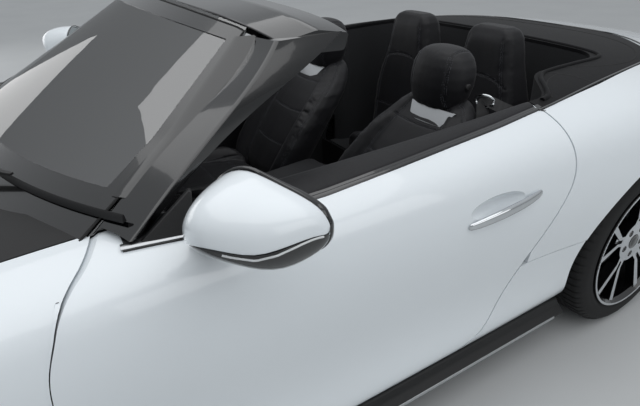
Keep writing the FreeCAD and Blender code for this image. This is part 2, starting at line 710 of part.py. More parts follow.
def make_diffuser():
    block = INNER_SKIN.common(box(-DIFFUSER_HALF + 2, DIFFUSER_HALF - 2, 2080, 2400, 200, DIFFUSER_TOP_Z - 2))
    for x in EXHAUST_X:
        for side in (-1, 1):
            hole = Part.makeCylinder(EXHAUST_R + SEAT_GAP, 600, V(side * x, 1900, EXHAUST_Z), V(0, 1, 0))
            block = block.cut(hole)
    return block


def make_exhaust():
    box_part = box(-610, 610, 1945, 2060, 236, DIFFUSER_TOP_Z - SEAT_GAP)
    parts = []
    for x in EXHAUST_X:
        for side in (-1, 1):
            tube = Part.makeCylinder(EXHAUST_R, 290, V(side * x, 2050, EXHAUST_Z), V(0, 1, 0))
            bore = Part.makeCylinder(EXHAUST_R - 4, 200, V(side * x, 2150, EXHAUST_Z), V(0, 1, 0))
            parts.append(tube.cut(bore))
    return box_part.fuse(parts)


def make_grille():
    opening = front_region(GRILLE_OUTLINE, -SEAT_GAP, -2450, -2200)
    inner = front_region(GRILLE_OUTLINE, -16, -2450, -2200)
    band = body_form(4).cut(INNER_SKIN)
    bars = []
    low = GRILLE_OUTLINE[0][1]
    high = GRILLE_OUTLINE[3][1]
    pitch = (high - low) / (GRILLE_BARS + 1)
    for i in range(GRILLE_BARS):
        z = low + pitch * (i + 1)
        bars.append(box(-500, 500, -2450, -2200, z - 4, z + 4))
    pattern = opening.cut(inner).fuse([bar.common(opening) for bar in bars])
    return band.common(pattern)


# The windscreen's surface from its foot to the header: height, half width and y at the side, then the
# height and y at the middle.
SCREEN_SECTIONS = (
    (860, 800, -737, 862, -1000),
    (1070, 668, -385, 1088, -600),
    (1265, 548, -125, 1312, -215),
)
# The left pillar, upwards: height, then x and y of the glass edge, the outer ridge and the rear edge.
PILLAR_SECTIONS = (
    (860, 800, -737, 861, -655, 846, -632),
    (1000, 713, -500, 783, -440, 764, -398),
    (1100, 652, -332, 727, -290, 708, -210),
    (1200, 592, -165, 676, -150, 656, 15),
    (1244, 563, -119, 652, -103, 634, 97),
)
# The header, from the middle outwards: x, then y and z of the glass edge, the crest and the rear edge.
HEADER_SECTIONS = (
    (0, -215, 1312, -90, 1324, 25, 1306),
    (330, -182, 1296, -60, 1308, 45, 1292),
    (560, -124, 1264, -14, 1282, 96, 1262),
    (636, -86, 1236, 20, 1254, 112, 1238),
)


def screen_sheet(side_inset, front, back):
    """The windscreen's surface as a solid between two depths under it, narrowed at its sides."""
    wires = []
    last = len(SCREEN_SECTIONS) - 1
    for i, (z, x, y, middle_z, middle_y) in enumerate(SCREEN_SECTIONS):
        below = SCREEN_SECTIONS[max(i - 1, 0)]
        above = SCREEN_SECTIONS[min(i + 1, last)]
        normal = V(0, above[0] - below[0], below[2] - above[2]).normalize()
        inwards = V(0, y - middle_y, z - middle_z).normalize()
        inwards = inwards * (1 / inwards.dot(normal))
        arc_points = [V(-x + side_inset, y, z), V(0, middle_y, middle_z), V(x - side_inset, y, z)]
        outer = [p + inwards * front for p in arc_points]
        inner = [p + inwards * back for p in reversed(arc_points)]
        edges = [Part.Arc(*outer).toShape(), Part.makeLine(outer[2], inner[0])]
        edges += [Part.Arc(*inner).toShape(), Part.makeLine(inner[2], outer[0])]
        wires.append(Part.Wire(edges))
    return Part.makeLoft(wires, True, False)


def make_pillar():
    sections = []
    for z, ax, ay, bx, by, cx, cy in PILLAR_SECTIONS:
        corners = [(ax, ay, 3), (bx, by, 9), (cx, cy, 6), (cx - 46, cy - 15, 6), (ax - 30, ay + 44, 4)]
        sections.append(rounded_wire(corners, lambda a, b: V(a, b, z)))
    return Part.makeLoft(sections, True, False)


def make_header():
    sections = []
    mirror_rows = [(-row[0],) + row[1:] for row in HEADER_SECTIONS[:0:-1]]
    for x, front_y, front_z, crest_y, crest_z, rear_y, rear_z in mirror_rows + list(HEADER_SECTIONS):
        corners = [(front_y, front_z, 3), (crest_y, crest_z, 60), (rear_y, rear_z, 8),
                   (rear_y - 14, rear_z - HEADER_DEPTH, 12), (front_y + 34, front_z - HEADER_DEPTH + 8, 6)]
        sections.append(rounded_wire(corners, lambda a, b: V(x, a, b)))
    return Part.makeLoft(sections, True, False)


def make_windscreen_frame():
    """Pillars and header in one, with a ledge that the glass lies on; the pillars stand on the cowl."""
    pillar = make_pillar()
    body = make_header().fuse([pillar, mirrored(pillar)])
    body = body.cut(screen_sheet(0, -60, GLASS_THICK + SEAT_GAP)).cut(FORM_SEAT)
    over_doors = body_form(-14).common(side_regions(DOOR_OUTLINE, 8, CABIN_HALF - 2))
    return body.cut(over_doors)


def make_windscreen_glass(windscreen_frame):
    return screen_sheet(GLASS_SEAM, 0, GLASS_THICK).cut(FORM_SEAT).cut(windscreen_frame)


# Outline of the front seat's back seen from ahead, as (distance from the seat's middle, z, radius).
SEAT_BACK_OUTLINE = (
    (-235, 380, 40), (-SEAT_HALF, 640, 200), (-228, 800, 90), (-112, 915, 60), (112, 915, 60),
    (228, 800, 90), (SEAT_HALF, 640, 200), (235, 380, 40),
)
HEADREST_OUTLINE = (
    (-92, 885, 50), (-128, 985, 80), (-104, 1092, 78), (104, 1092, 78), (128, 985, 80), (92, 885, 50),
)


def about_seat(corners, middle_x):
    return [(middle_x + a, z, r) for a, z, r in corners]


def make_front_seat():
    """Cushion, tapered back with bolsters and a round headrest, on two rails."""
    x = SEAT_X
    cushion = side_prism([(-230, 330, 40), (-240, 470, 50), (300, 430, 60), (330, 330, 40)], x - 190, x + 190)
    back = side_prism([(270, 380, 40), (390, 360, 60), (690, 880, 60), (662, 940, 30), (560, 930, 40),
                       (520, 860, 60)], x - 300, x + 300)
    back = back.common(front_prism(about_seat(SEAT_BACK_OUTLINE, x), 200, 800))
    rest = side_prism([(606, 890, 34), (700, 872, 40), (782, 960, 60), (766, 1070, 60), (690, 1100, 60),
                       (628, 1060, 60)], x - 150, x + 150)
    rest = rest.common(front_prism(about_seat(HEADREST_OUTLINE, x), 500, 900))
    parts = [back, rest]
    for side in (-1, 1):
        low, high = sorted((x + side * 155, x + side * SEAT_HALF))
        parts.append(side_prism([(-210, 340, 40), (-210, 505, 50), (260, 500, 60), (300, 340, 40)], low, high))
        parts.append(side_prism([(220, 400, 40), (380, 400, 60), (600, 780, 45), (540, 850, 40), (430, 760, 60)],
                                low, high))
        rail = x + side * 170
        parts.append(box(rail - 15, rail + 15, -200, 300, FLOOR_TOP_Z + SEAT_GAP, 345))
    return cushion.fuse(parts)


def make_front_seats():
    return pair(make_front_seat())


REAR_BACK_OUTLINE = (
    (-205, 371, 0), (-212, 760, 120), (-150, 900, 160), (-108, 1112, 60), (108, 1112, 60),
    (150, 900, 160), (212, 760, 120), (205, 371, 0),
)


def make_rear_seat():
    """A bucketed cushion and a tall back that narrows into its own headrest."""
    x = REAR_SEAT_X
    low = REAR_FLOOR_Z + SEAT_GAP
    cushion = side_prism([(862, low, 0), (856, 478, 40), (1060, 440, 50), (1100, low, 0)], x - 212, x + 212)
    back = side_prism([(1000, low, 0), (1062, 900, 160), (1072, 1110, 52), (1180, 1104, 50), (1196, 900, 120),
                       (1150, low, 0)], x - 300, x + 300)
    return cushion.fuse(back.common(front_prism(about_seat(REAR_BACK_OUTLINE, x), 800, 1300)))


def make_rear_seats():
    return pair(make_rear_seat())


def column_axis():
    tilt = math.radians(COLUMN_TILT)
    return V(0, math.cos(tilt), math.sin(tilt))


def make_dashboard():
    profile = [(FIREWALL_Y + SEAT_GAP, 600, 0), (FIREWALL_Y + SEAT_GAP, 960, 0), (-640, 960, 0), (-470, 890, 70),
               (-430, 800, 40), (-470, 660, 60), (-600, 590, 60)]
    body = side_prism(profile, -CABIN_HALF + 8, CABIN_HALF - 8).common(INNER_SEAT)
    pod = side_prism([(-620, 880, 0), (-500, 965, 40), (-400, 925, 40), (-430, 800, 30), (-600, 800, 0)],
                     WHEEL_CENTRE.x - 170, WHEEL_CENTRE.x + 170)
    axis = column_axis()
    start = WHEEL_CENTRE - axis * 480
    column = Part.makeCylinder(COLUMN_R + 22, 400, start, axis)
    stub = Part.makeCylinder(COLUMN_R, 470, start, axis)
    return body.fuse([pod, column, stub])


def make_steering_wheel():
    """Rim, three spokes and a boss with a blind bore for the column."""
    axis = column_axis()
    grip = Part.makeTorus(STEERING_R, STEERING_GRIP_R)
    boss = Part.makeCylinder(62, 46, V(0, 0, -20))
    parts = [boss]
    for turn in (0, 180, 270):
        spoke = box(50, STEERING_R, -17, 17, -7, 7)
        spoke.rotate(V(0, 0, 0), V(0, 0, 1), turn)
        parts.append(spoke)
    wheel = grip.fuse(parts)
    wheel = wheel.cut(Part.makeCylinder(COLUMN_R + RUNNING_GAP, 11, V(0, 0, -20)))
    wheel.rotate(V(0, 0, 0), V(1, 0, 0), COLUMN_TILT - 90)
    wheel.translate(WHEEL_CENTRE)
    return wheel


def make_console():
    profile = [(-600, FLOOR_TOP_Z + SEAT_GAP, 0), (-560, 590, 60), (-380, 600, 60), (0, 520, 200), (420, 545, 60),
               (500, 500, 60), (840, 360, 100), (850, FLOOR_TOP_Z + SEAT_GAP, 0)]
    return side_prism(profile, -CONSOLE_HALF, CONSOLE_HALF)


def make_engine():
    bottom = BAY_FLOOR_Z + SEAT_GAP
    block = side_prism([(-1780, bottom, 0), (-1780, 640, 80), (-1560, 745, 60), (-1060, 770, 60), (-1000, 640, 60),
                        (-960, bottom, 0)], -290, 290)
    return block


def turned(points, x):
    """A solid turned about the wheel's axle from (offset along X, radius, rounding) corners."""
    wire = rounded_wire(points, lambda a, b: V(x + a, 0, b))
    return Part.Face(wire).revolve(V(0, 0, 0), V(1, 0, 0), 360)


def make_tyre(x, width):
    half = width / 2
    inner = RIM_BARREL_R + RIM_WALL + 0.3
    return turned([(-half + 18, inner, 0), (-half, 300, 40), (-half + 8, TYRE_R, 24), (half - 8, TYRE_R, 24),
                   (half, 300, 40), (half - 18, inner, 0)], x)


def make_rim(x, width):
    """Barrel with lips, centre and five spokes that fork into a Y, cut from a turned dish."""
    half = width / 2
    barrel_out = RIM_BARREL_R + RIM_WALL
    barrel = turned([(-half - 2, RIM_LIP_R, 3), (-half + 8, RIM_LIP_R, 3), (-half + 17.5, barrel_out, 1),
                     (half - 17.5, barrel_out, 1), (half - 8, RIM_LIP_R, 3), (half + 4, RIM_LIP_R, 3),
                     (half + 4, RIM_LIP_R - 9, 3), (half - 12, RIM_BARREL_R, 10), (-half + 8, RIM_BARREL_R, 10),
                     (-half - 2, RIM_LIP_R - 9, 3)], x)
    dish = turned([(half - 52, 26, 0), (half - 24, 26, 4), (half - 26, 80, 30), (half - 6, RIM_BARREL_R + 4, 0),
                   (half - 44, RIM_BARREL_R + 4, 0), (half - 62, 80, 20)], x)
    arms = []
    for i in range(SPOKES):
        stem = [(-25, 30), (25, 30), (19, 125), (-19, 125)]
        left = [(2, 105), (-20, 112), (-86, RIM_BARREL_R + 2), (-62, RIM_BARREL_R + 8)]
        right = [(-a, b) for a, b in left]
        for shape in (stem, left, right):
            wire = Part.makePolygon([V(x - half, a, b) for a, b in shape + shape[:1]])
            arm = Part.Face(wire).extrude(V(2 * width, 0, 0))
            arm.rotate(V(0, 0, 0), V(1, 0, 0), 360 / SPOKES * i)
            arms.append(arm)
    hub = cylinder_x(x - half, x + width, 0, 0, 84)
    pattern = hub.fuse(arms)
    pad = cylinder_x(x + PAD_FACE, x + half - 30, 0, 0, 78)
    rim = barrel.fuse([dish.common(pattern), pad])
    for i in range(SPOKES):
        pocket = cylinder_x(x + half - 46, x + width, 0, LUG_CIRCLE_R, LUG_POCKET_R)
        pocket.rotate(V(0, 0, 0), V(1, 0, 0), 360 / SPOKES * (i + 0.5))
        groove = plate_x(SPOKE_GROOVE, x + half - 32, x + width)
        groove.rotate(V(0, 0, 0), V(1, 0, 0), 360 / SPOKES * i)
        rim = rim.cut(pocket).cut(groove)
    return rim


SPOKE_GROOVE = ((-7, 92), (7, 92), (9, 150), (0, 178), (-9, 150))


def plate_x(corners, x0, x1):
    """A plate between two x over an outline of (y, z) corners."""
    wire = Part.makePolygon([V(x0, a, b) for a, b in corners + corners[:1]])
    return Part.Face(wire).extrude(V(x1 - x0, 0, 0))


def make_disc(x):
    """Brake disc, its hat and the hub with its bore for the spindle."""
    half = DISC_THICK / 2
    disc = turned([(-half, 100, 0), (-half, DISC_R, 2), (half, DISC_R, 2), (half, 100, 0)], x)
    hat = turned([(-half, 78, 0), (-half, 110, 0), (half, 110, 0), (PAD_FACE - SEAT_GAP, 86, 4),
                  (PAD_FACE - SEAT_GAP, 0, 0), (PAD_FACE - 12, 0, 0), (PAD_FACE - 12, 78, 4)], x)
    hub = cylinder_x(x - HUB_REACH, x + PAD_FACE - 5, 0, 0, 46)
    bore = cylinder_x(x - HUB_REACH - 1, x + SPINDLE_END, 0, 0, SPINDLE_R + RUNNING_GAP)
    return disc.fuse([hat, hub]).cut(bore)


def make_upright(x, steered):
    """Upright with its spindle, calliper and, on a steered wheel, ball pins above and below."""
    centre = x - UPRIGHT_OFFSET
    half = UPRIGHT_THICK / 2
    wire = rounded_wire([(-60, 0, 30), (-34, -146, 16), (34, -146, 16), (60, 0, 30), (34, 142, 16),
                         (-34, 142, 16)], lambda a, b: V(centre - half, a, b))
    plate = Part.Face(wire).extrude(V(UPRIGHT_THICK, 0, 0))
    spindle = cylinder_x(centre, x + SPINDLE_END - 1, 0, 0, SPINDLE_R)
    shoulder = cylinder_x(centre, x - HUB_REACH - 1, 0, 0, 34)
    gap = 6
    thick = DISC_THICK / 2 + gap
    ring = turned([(-54, 128, 0), (-54, 212, 12), (50, 212, 12), (50, 128, 0)], x)
    slot = turned([(-thick, 0, 0), (-thick, DISC_R + gap, 0), (thick, DISC_R + gap, 0), (thick, 0, 0)], x)
    wedge = Part.makePolygon([V(x - 200, 0, 0), V(x - 200, 300, -170), V(x - 200, 300, 170), V(x - 200, 0, 0)])
    calliper = ring.cut(slot).common(Part.Face(wedge).extrude(V(400, 0, 0)))
    bracket = box(centre, x - 50, 30, 165, -45, 45)
    parts = [spindle, shoulder, calliper, bracket]
    if steered:
        upper = UPPER_JOINT_Z - AXLE_Z
        lower = LOWER_JOINT_Z - AXLE_Z
        parts.append(Part.makeCylinder(BALL_PIN_R, 60, V(centre, 0, upper - 20)))
        parts.append(Part.makeCylinder(BALL_PIN_R, 60, V(centre, 0, lower - 20)))
        parts.append(box(centre - 12, centre + 12, -150, 0, -80, -60))
    return plate.fuse(parts)


def placed(shape, y):
    shape.translate(V(0, y, AXLE_Z))
    return shape


def make_suspension():
    """Arms, struts and subframes; the front arms end in eyes for the uprights' ball pins."""
    solids = []
    kingpin = FRONT_WHEEL_X - UPRIGHT_OFFSET
    for z, inner_y in ((UPPER_JOINT_Z, 120), (LOWER_JOINT_Z, 170)):
        base = FRONT_WELL_X + SEAT_GAP
        wire = rounded_wire([(base, -inner_y, 0), (base, inner_y, 0), (kingpin + 6, 22, 18),
                             (kingpin + 6, -22, 18)], lambda a, b: V(a, FRONT_AXLE_Y + b, z - 9))
        arm = Part.Face(wire).extrude(V(0, 0, 18))
        window = rounded_wire([(base + 40, -inner_y + 60, 10), (base + 40, inner_y - 60, 10), (base + 150, 20, 10),
                               (base + 150, -20, 10)], lambda a, b: V(a, FRONT_AXLE_Y + b, z - 10))
        arm = arm.cut(Part.Face(window).extrude(V(0, 0, 20)))
        eye = Part.makeCylinder(26, 18, V(kingpin, FRONT_AXLE_Y, z - 9))
        bore = Part.makeCylinder(BALL_PIN_R + RUNNING_GAP, 40, V(kingpin, FRONT_AXLE_Y, z - 20))
        arm = arm.fuse(eye).cut(bore)
        if z == LOWER_JOINT_Z:
            strut = Part.makeCylinder(34, 560, V(base + 62, FRONT_AXLE_Y, z), V(-0.04, 0, 1))
            arm = arm.fuse(strut.common(box(0, 900, -2000, 0, 0, 700)))
            arm = arm.fuse(box(base, base + 60, FRONT_AXLE_Y - 170, FRONT_AXLE_Y + 170, z - 9, 260))
        solids.append(arm)
    upright = REAR_WHEEL_X - UPRIGHT_OFFSET
    rear = placed(make_upright(REAR_WHEEL_X, False), REAR_AXLE_Y)
    for z in (LOWER_JOINT_Z, UPPER_JOINT_Z - 20):
        link = box(REAR_WELL_X + SEAT_GAP, upright, REAR_AXLE_Y - 30, REAR_AXLE_Y + 30, z, z + 22)
        rear = rear.fuse(link)
    solids.append(rear)
    return Part.makeCompound(solids + [mirrored(solid) for solid in solids])


def make_wipers():
    solids = []
    for x in (-430, 240):
        pivot = Part.makeCylinder(16, 40, V(x, -930, 940))
        arm = box(x, x + 500, -926, -912, 962, 972)
        solids.append(pivot.fuse(arm).cut(FORM_SEAT))
    return Part.makeCompound(solids)


def report_size(name, shape):
    bounds = shape.BoundBox
    print(f"{name:20s} solids {len(shape.Solids):2d} valid {shape.isValid()} volume {shape.Volume / 1e6:9.2f} "
          f"x {bounds.XMin:7.1f} {bounds.XMax:7.1f} y {bounds.YMin:8.1f} {bounds.YMax:8.1f} "
          f"z {bounds.ZMin:7.1f} {bounds.ZMax:7.1f}")


FORM = body_form(0)
FORM_SEAT = body_form(-SEAT_GAP)
INNER_SKIN = body_form(SKIN)
INNER_SEAT = body_form(SKIN + SEAT_GAP)
INNER_LID = body_form(LID_SKIN)
INNER_LID_OUT = body_form(LID_SKIN - 2)
INNER_BED = body_form(LID_SKIN + 8)


def make_all():
    parts = make_body_panels()
    parts["bonnet"] = make_bonnet()
    parts["boot_lid"] = make_boot_lid()
    parts["body_tub"] = make_tub()
    parts["front_structure"] = make_front_structure()
    parts["rear_structure"] = make_rear_structure()
    parts["sills"] = make_sills()
    parts["side_skirts"] = make_side_skirts()
    parts["diffuser"] = make_diffuser()
    parts["exhaust"] = make_exhaust()
    parts["grille"] = make_grille()
    parts["windscreen_frame"] = make_windscreen_frame()
    parts["windscreen_glass"] = make_windscreen_glass(parts["windscreen_frame"])
    parts["front_seats"] = make_front_seats()
    parts["rear_seats"] = make_rear_seats()
    parts["dashboard"] = make_dashboard()
    parts["steering_wheel"] = make_steering_wheel()
    parts["console"] = make_console()
    parts["engine"] = make_engine()
    parts["suspension"] = make_suspension()
    parts["wipers"] = make_wipers()
    for name, maker in (("door", make_door), ("mirror", make_mirror), ("handle", make_handle)):
        left = maker()
        parts[name + "_left"] = left
        parts[name + "_right"] = mirrored(left)
    wheels = (
        ("front", FRONT_AXLE_Y, FRONT_WHEEL_X, FRONT_TYRE_WIDTH),
        ("rear", REAR_AXLE_Y, REAR_WHEEL_X, REAR_TYRE_WIDTH),
    )
    for end, y, x, width in wheels:
        pieces = {"tyre": make_tyre(x, width), "rim": make_rim(x, width), "brake_disc": make_disc(x)}
        if end == "front":
            pieces["knuckle"] = make_upright(x, True)
        for name, piece in pieces.items():
            piece = placed(piece, y)
            parts[f"{name}_{end}_left"] = piece
            parts[f"{name}_{end}_right"] = mirrored(piece)
    return parts


def main():
    os.makedirs("parts", exist_ok=True)
    for name, shape in make_all().items():
        report_size(name, shape)
        shape.exportStep(f"parts/{name}.step")


main()
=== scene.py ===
"""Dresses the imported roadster: paint, glass, leather, rubber and bright trim round the fixed frame."""

import math

import bmesh
import bpy
from mathutils import Matrix, Vector
from mathutils import kdtree
from mathutils.bvhtree import BVHTree


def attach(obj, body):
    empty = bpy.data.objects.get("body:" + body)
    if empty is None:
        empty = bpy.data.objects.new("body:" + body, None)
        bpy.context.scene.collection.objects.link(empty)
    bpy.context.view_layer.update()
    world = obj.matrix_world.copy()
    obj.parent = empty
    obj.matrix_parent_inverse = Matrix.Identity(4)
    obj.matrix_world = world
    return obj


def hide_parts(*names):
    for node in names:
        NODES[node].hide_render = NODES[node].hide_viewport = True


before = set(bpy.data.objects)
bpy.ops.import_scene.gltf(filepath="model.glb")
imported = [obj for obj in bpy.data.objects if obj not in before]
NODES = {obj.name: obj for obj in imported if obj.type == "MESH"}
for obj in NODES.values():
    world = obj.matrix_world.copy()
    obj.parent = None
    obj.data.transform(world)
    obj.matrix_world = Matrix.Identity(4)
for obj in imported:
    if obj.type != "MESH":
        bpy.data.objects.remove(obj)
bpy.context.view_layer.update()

bl_info = {
    "name": "Roadster Dressing",
    "version": (1, 0, 0),
    "blender": (4, 5, 0),
    "location": "View3D > Sidebar > Roadster",
    "description": "Gives a roadster's solids their paint, glass, leather, rubber and trim",
    "category": "Object",
}

MM = 0.001
LEFT_AND_RIGHT = (("left", 1), ("right", -1))
FRONT_AXLE = Vector((0, -1.438, 0.357))
REAR_AXLE = Vector((0, 1.262, 0.357))


# Colours and nodes

def linear(hex_colour, alpha=1.0):
    """A colour in sRGB hex, turned to the linear values that shaders use; others are left as they are."""
    if not isinstance(hex_colour, str):
        return list(hex_colour)
    parts = [int(hex_colour[i:i + 2], 16) / 255 for i in (1, 3, 5)]
    return [p / 12.92 if p <= 0.04045 else ((p + 0.055) / 1.055) ** 2.4 for p in parts] + [alpha]


def add(tree, kind, sockets=None, **settings):
    """Adds one node, with its settings, and sets or links its sockets."""
    made = tree.nodes.new(kind)
    for name, value in settings.items():
        setattr(made, name, value)
    for name, value in (sockets or {}).items():
        if isinstance(value, bpy.types.NodeSocket):
            tree.links.new(value, made.inputs[name])
        else:
            made.inputs[name].default_value = value
    return made


def start(name):
    """An empty material with its output, shader and object coordinates."""
    material = bpy.data.materials.new(name)
    material.use_nodes = True
    tree = material.node_tree
    tree.nodes.clear()
    shader = add(tree, "ShaderNodeBsdfPrincipled")
    add(tree, "ShaderNodeOutputMaterial", {"Surface": shader.outputs["BSDF"]})
    place = add(tree, "ShaderNodeTexCoord").outputs["Object"]
    return material, tree, shader, place


def per_metre(millimetres):
    """The texture scale at which one feature is that many millimetres wide."""
    return 1000 / millimetres


def shade_range(tree, factor, dark, light):
    """A colour that runs from dark to light with the factor."""
    mix = add(tree, "ShaderNodeMix", {0: factor}, data_type="RGBA")
    mix.inputs["A"].default_value = linear(dark)
    mix.inputs["B"].default_value = linear(light)
    return mix.outputs["Result"]


def roughness_range(tree, factor, low, high):
    return add(tree, "ShaderNodeMapRange", {"Value": factor, "To Min": low, "To Max": high}).outputs[0]


def relief(tree, height, depth, strength=1.0, under=None):
    """Bump of a real depth in metres."""
    sockets = {"Height": height, "Distance": depth, "Strength": strength}
    if under is not None:
        sockets["Normal"] = under
    return add(tree, "ShaderNodeBump", sockets).outputs["Normal"]


def noise(tree, place, size, detail=3.0, rough=0.5):
    sockets = {"Vector": place, "Scale": per_metre(size), "Detail": detail, "Roughness": rough}
    return add(tree, "ShaderNodeTexNoise", sockets).outputs["Fac"]


def cells(tree, place, size, feature="F1", randomness=1.0):
    sockets = {"Vector": place, "Scale": per_metre(size), "Randomness": randomness}
    return add(tree, "ShaderNodeTexVoronoi", sockets, feature=feature).outputs["Distance"]


def lacquer(name, dark, light, coat=1.0, rough=0.3, peel=0.00002):
    """Sprayed colour under clear lacquer: a sharp reflection with the faint ripple of the spray."""
    material, tree, shader, place = start(name)
    tone = noise(tree, place, 900, 2.0)
    tree.links.new(shade_range(tree, tone, dark, light), shader.inputs["Base Color"])
    shader.inputs["Roughness"].default_value = rough
    shader.inputs["Coat Weight"].default_value = coat
    shader.inputs["Coat Roughness"].default_value = 0.03
    tree.links.new(relief(tree, noise(tree, place, 9, 1.0), peel), shader.inputs["Coat Normal"])
    return material


def moulded(name, dark, light, rough=(0.5, 0.62), grain=1.6, depth=0.00012):
    """Moulded plastic: fine leather-like grain from the tool, a little duller where it is handled."""
    material, tree, shader, place = start(name)
    tone = noise(tree, place, 120)
    tree.links.new(shade_range(tree, tone, dark, light), shader.inputs["Base Color"])
    tree.links.new(roughness_range(tree, tone, *rough), shader.inputs["Roughness"])
    tree.links.new(relief(tree, cells(tree, place, grain), depth), shader.inputs["Normal"])
    return material


def hide(name, dark, light, rough=(0.42, 0.58), grain=2.4, depth=0.00022, shine=0.5):
    """Finished leather: pebbled grain about 2 mm across, drawn a little coarse so that it shows."""
    material, tree, shader, place = start(name)
    tone = noise(tree, place, 70, 4.0)
    pebble = cells(tree, place, grain)
    tree.links.new(shade_range(tree, tone, dark, light), shader.inputs["Base Color"])
    tree.links.new(roughness_range(tree, pebble, *rough), shader.inputs["Roughness"])
    crease = noise(tree, place, 26, 5.0, 0.62)
    soft = relief(tree, crease, 0.0012, 0.5)
    tree.links.new(relief(tree, pebble, depth, 1.0, soft), shader.inputs["Normal"])
    shader.inputs["Specular IOR Level"].default_value = shine
    shader.inputs["Sheen Weight"].default_value = 0.06
    shader.inputs["Sheen Roughness"].default_value = 0.45
    return material


def metal(name, dark, light, rough=(0.2, 0.3), grain=2.0, depth=0.00004, stretch=(1, 1, 1)):
    """Bare or plated metal: reflection broken a little by the way it was cut or polished."""
    material, tree, shader, place = start(name)
    stretched = add(tree, "ShaderNodeMapping", {"Vector": place, "Scale": stretch}).outputs["Vector"]
    tone = noise(tree, stretched, grain, 3.0)
    tree.links.new(shade_range(tree, tone, dark, light), shader.inputs["Base Color"])
    shader.inputs["Metallic"].default_value = 1.0
    tree.links.new(roughness_range(tree, tone, *rough), shader.inputs["Roughness"])
    tree.links.new(relief(tree, tone, depth), shader.inputs["Normal"])
    return material


# A wave texture at scale 1 repeats about this many times in a metre
WAVE_SCALE = 6.3


def woven(name, dark, light, pitch):
    """Woven webbing: a fine diagonal rib that catches light on every thread, with a painted highlight on each
    crest and painted shade between them.
    """
    material, tree, shader, place = start(name)
    turned_place = add(tree, "ShaderNodeMapping", {"Vector": place, "Rotation": (0.6, 0.4, 0.7)}).outputs[0]
    sockets = {"Vector": turned_place, "Scale": per_metre(pitch) / WAVE_SCALE}
    rib_height_and_highlight = add(tree, "ShaderNodeTexWave", sockets).outputs["Fac"]
    # The colour follows the rib: a painted highlight on its crests and painted shade in its hollows
    tree.links.new(shade_range(tree, rib_height_and_highlight, dark, light), shader.inputs["Base Color"])
    shader.inputs["Roughness"].default_value = 0.7
    tree.links.new(relief(tree, rib_height_and_highlight, 0.0003), shader.inputs["Normal"])
    shader.inputs["Sheen Weight"].default_value = 0.3
    return material


def shades(colour, low, high):
    """A darker and a lighter tone of a colour, for the slow changes across a piece."""
    return [[min(c * share, 1) for c in colour[:3]] + [1.0] for share in (low, high)]


def make_materials(colours):
    """Every finish of the car, by a short name."""
    return {
        # White under clear lacquer: the panels take soft reflections and keep a sharp highlight
        "white_paint": lacquer("white_basecoat_clear_lacquered", *shades(colours.paint, 0.96, 1.03)),
        # Dull and a little rough, so hidden structure stays quiet behind the panels
        "primer": moulded("grey_primer_and_underseal", "#1A1B1D", "#232427", (0.75, 0.85), 5.0, 0.0004),
        # Grained plastic with a low sheen
        "satin_black": moulded("black_polypropylene_grained", "#0D0D0E", "#151516", (0.5, 0.6)),
        # Deep black with a mirror-like surface
        "gloss_black": lacquer("black_acrylic_polished", "#050506", "#08080A", 1.0, 0.12, 0.00001),
        # Soft folds and pebbles that catch light along the bolsters
        "leather": hide("black_nappa_leather_sewn", *shades(colours.leather, 0.75, 1.3), shine=0.3),
        # Duller and finer than the seats
        "hood_skin": hide("black_hood_cover_moulded_leather", "#09090B", "#0D0D10", (0.55, 0.68), 1.8,
                          0.00015, 0.14),
        # Foamed skin with a fine, even grain
        "trim": moulded("black_soft_touch_trim_foamed", "#101012", "#19191B", (0.55, 0.68), 1.2, 0.0001),
        # A near mirror
        "chrome": metal("chrome_plated_polished", "#C9CCCF", "#DADDDF", (0.04, 0.09), 40),
        # Brushed along its length, so highlights are drawn out
        "satin_silver": metal("satin_silver_anodised_aluminium", "#B4B6B8", "#C2C4C6", (0.28, 0.36), 1.5,
                              0.00002, (1, 0.05, 1)),
        # Blasted castings: grey and grainy
        "cast_aluminium": metal("cast_aluminium_blasted", "#77797C", "#8C8E91", (0.45, 0.6), 3.0, 0.00015),
        # Ground iron with rings round the axle
        "disc_iron": metal("grey_cast_iron_ground", "#6A6A6A", "#8A8A8A", (0.3, 0.42), 1.2, 0.00005,
                           (0.02, 1, 1)),
        "rim_faces": rim_faces(colours.wheel_faces),
        # Smoked plastic that looks black until light falls on it
        "lamp_black": lacquer("smoked_polycarbonate_polished", "#0B0C0E", "#121316", 1.0, 0.15, 0.000008),
        # Dull rubber, a shade greyer on worn edges
        "rubber": moulded("tyre_rubber_vulcanised", "#0E0E0F", "#181818", (0.78, 0.9), 3.0, 0.0002),
        "glass": screen_glass(),
        "lens": clear_lens("polycarbonate_lens_clear", "#F2F5F7", 0.02),
        "red_lens": clear_lens("acrylic_lens_red", "#8E0710", 0.06),
        # Glass silvered behind: a clean reflection
        "silvered": metal("silvered_mirror_glass", "#C4CACD", "#CCD2D4", (0.02, 0.03), 60),
        # Fired enamel, black behind the shine of the glass
        "frit": lacquer("black_ceramic_enamel_fired_on_glass", "#060607", "#0A0A0B", 1.0, 0.2, 0.000004),
        # Matt rubber lips
        "seal": moulded("black_epdm_seal_extruded", "#050505", "#090909", (0.6, 0.75), 4.0, 0.00005),
        # Twisted thread, lighter than the hide
        "thread": moulded("grey_polyester_thread_twisted", *shades(colours.thread, 0.8, 1.3), (0.6, 0.7), 0.8,
                          0.00008),
        # Black webbing; its lighter tone is a painted highlight on the crest of each rib
        "webbing": woven("black_polyester_webbing_woven", "#0C0C0D", "#1A1A1C", 1.6),
    }


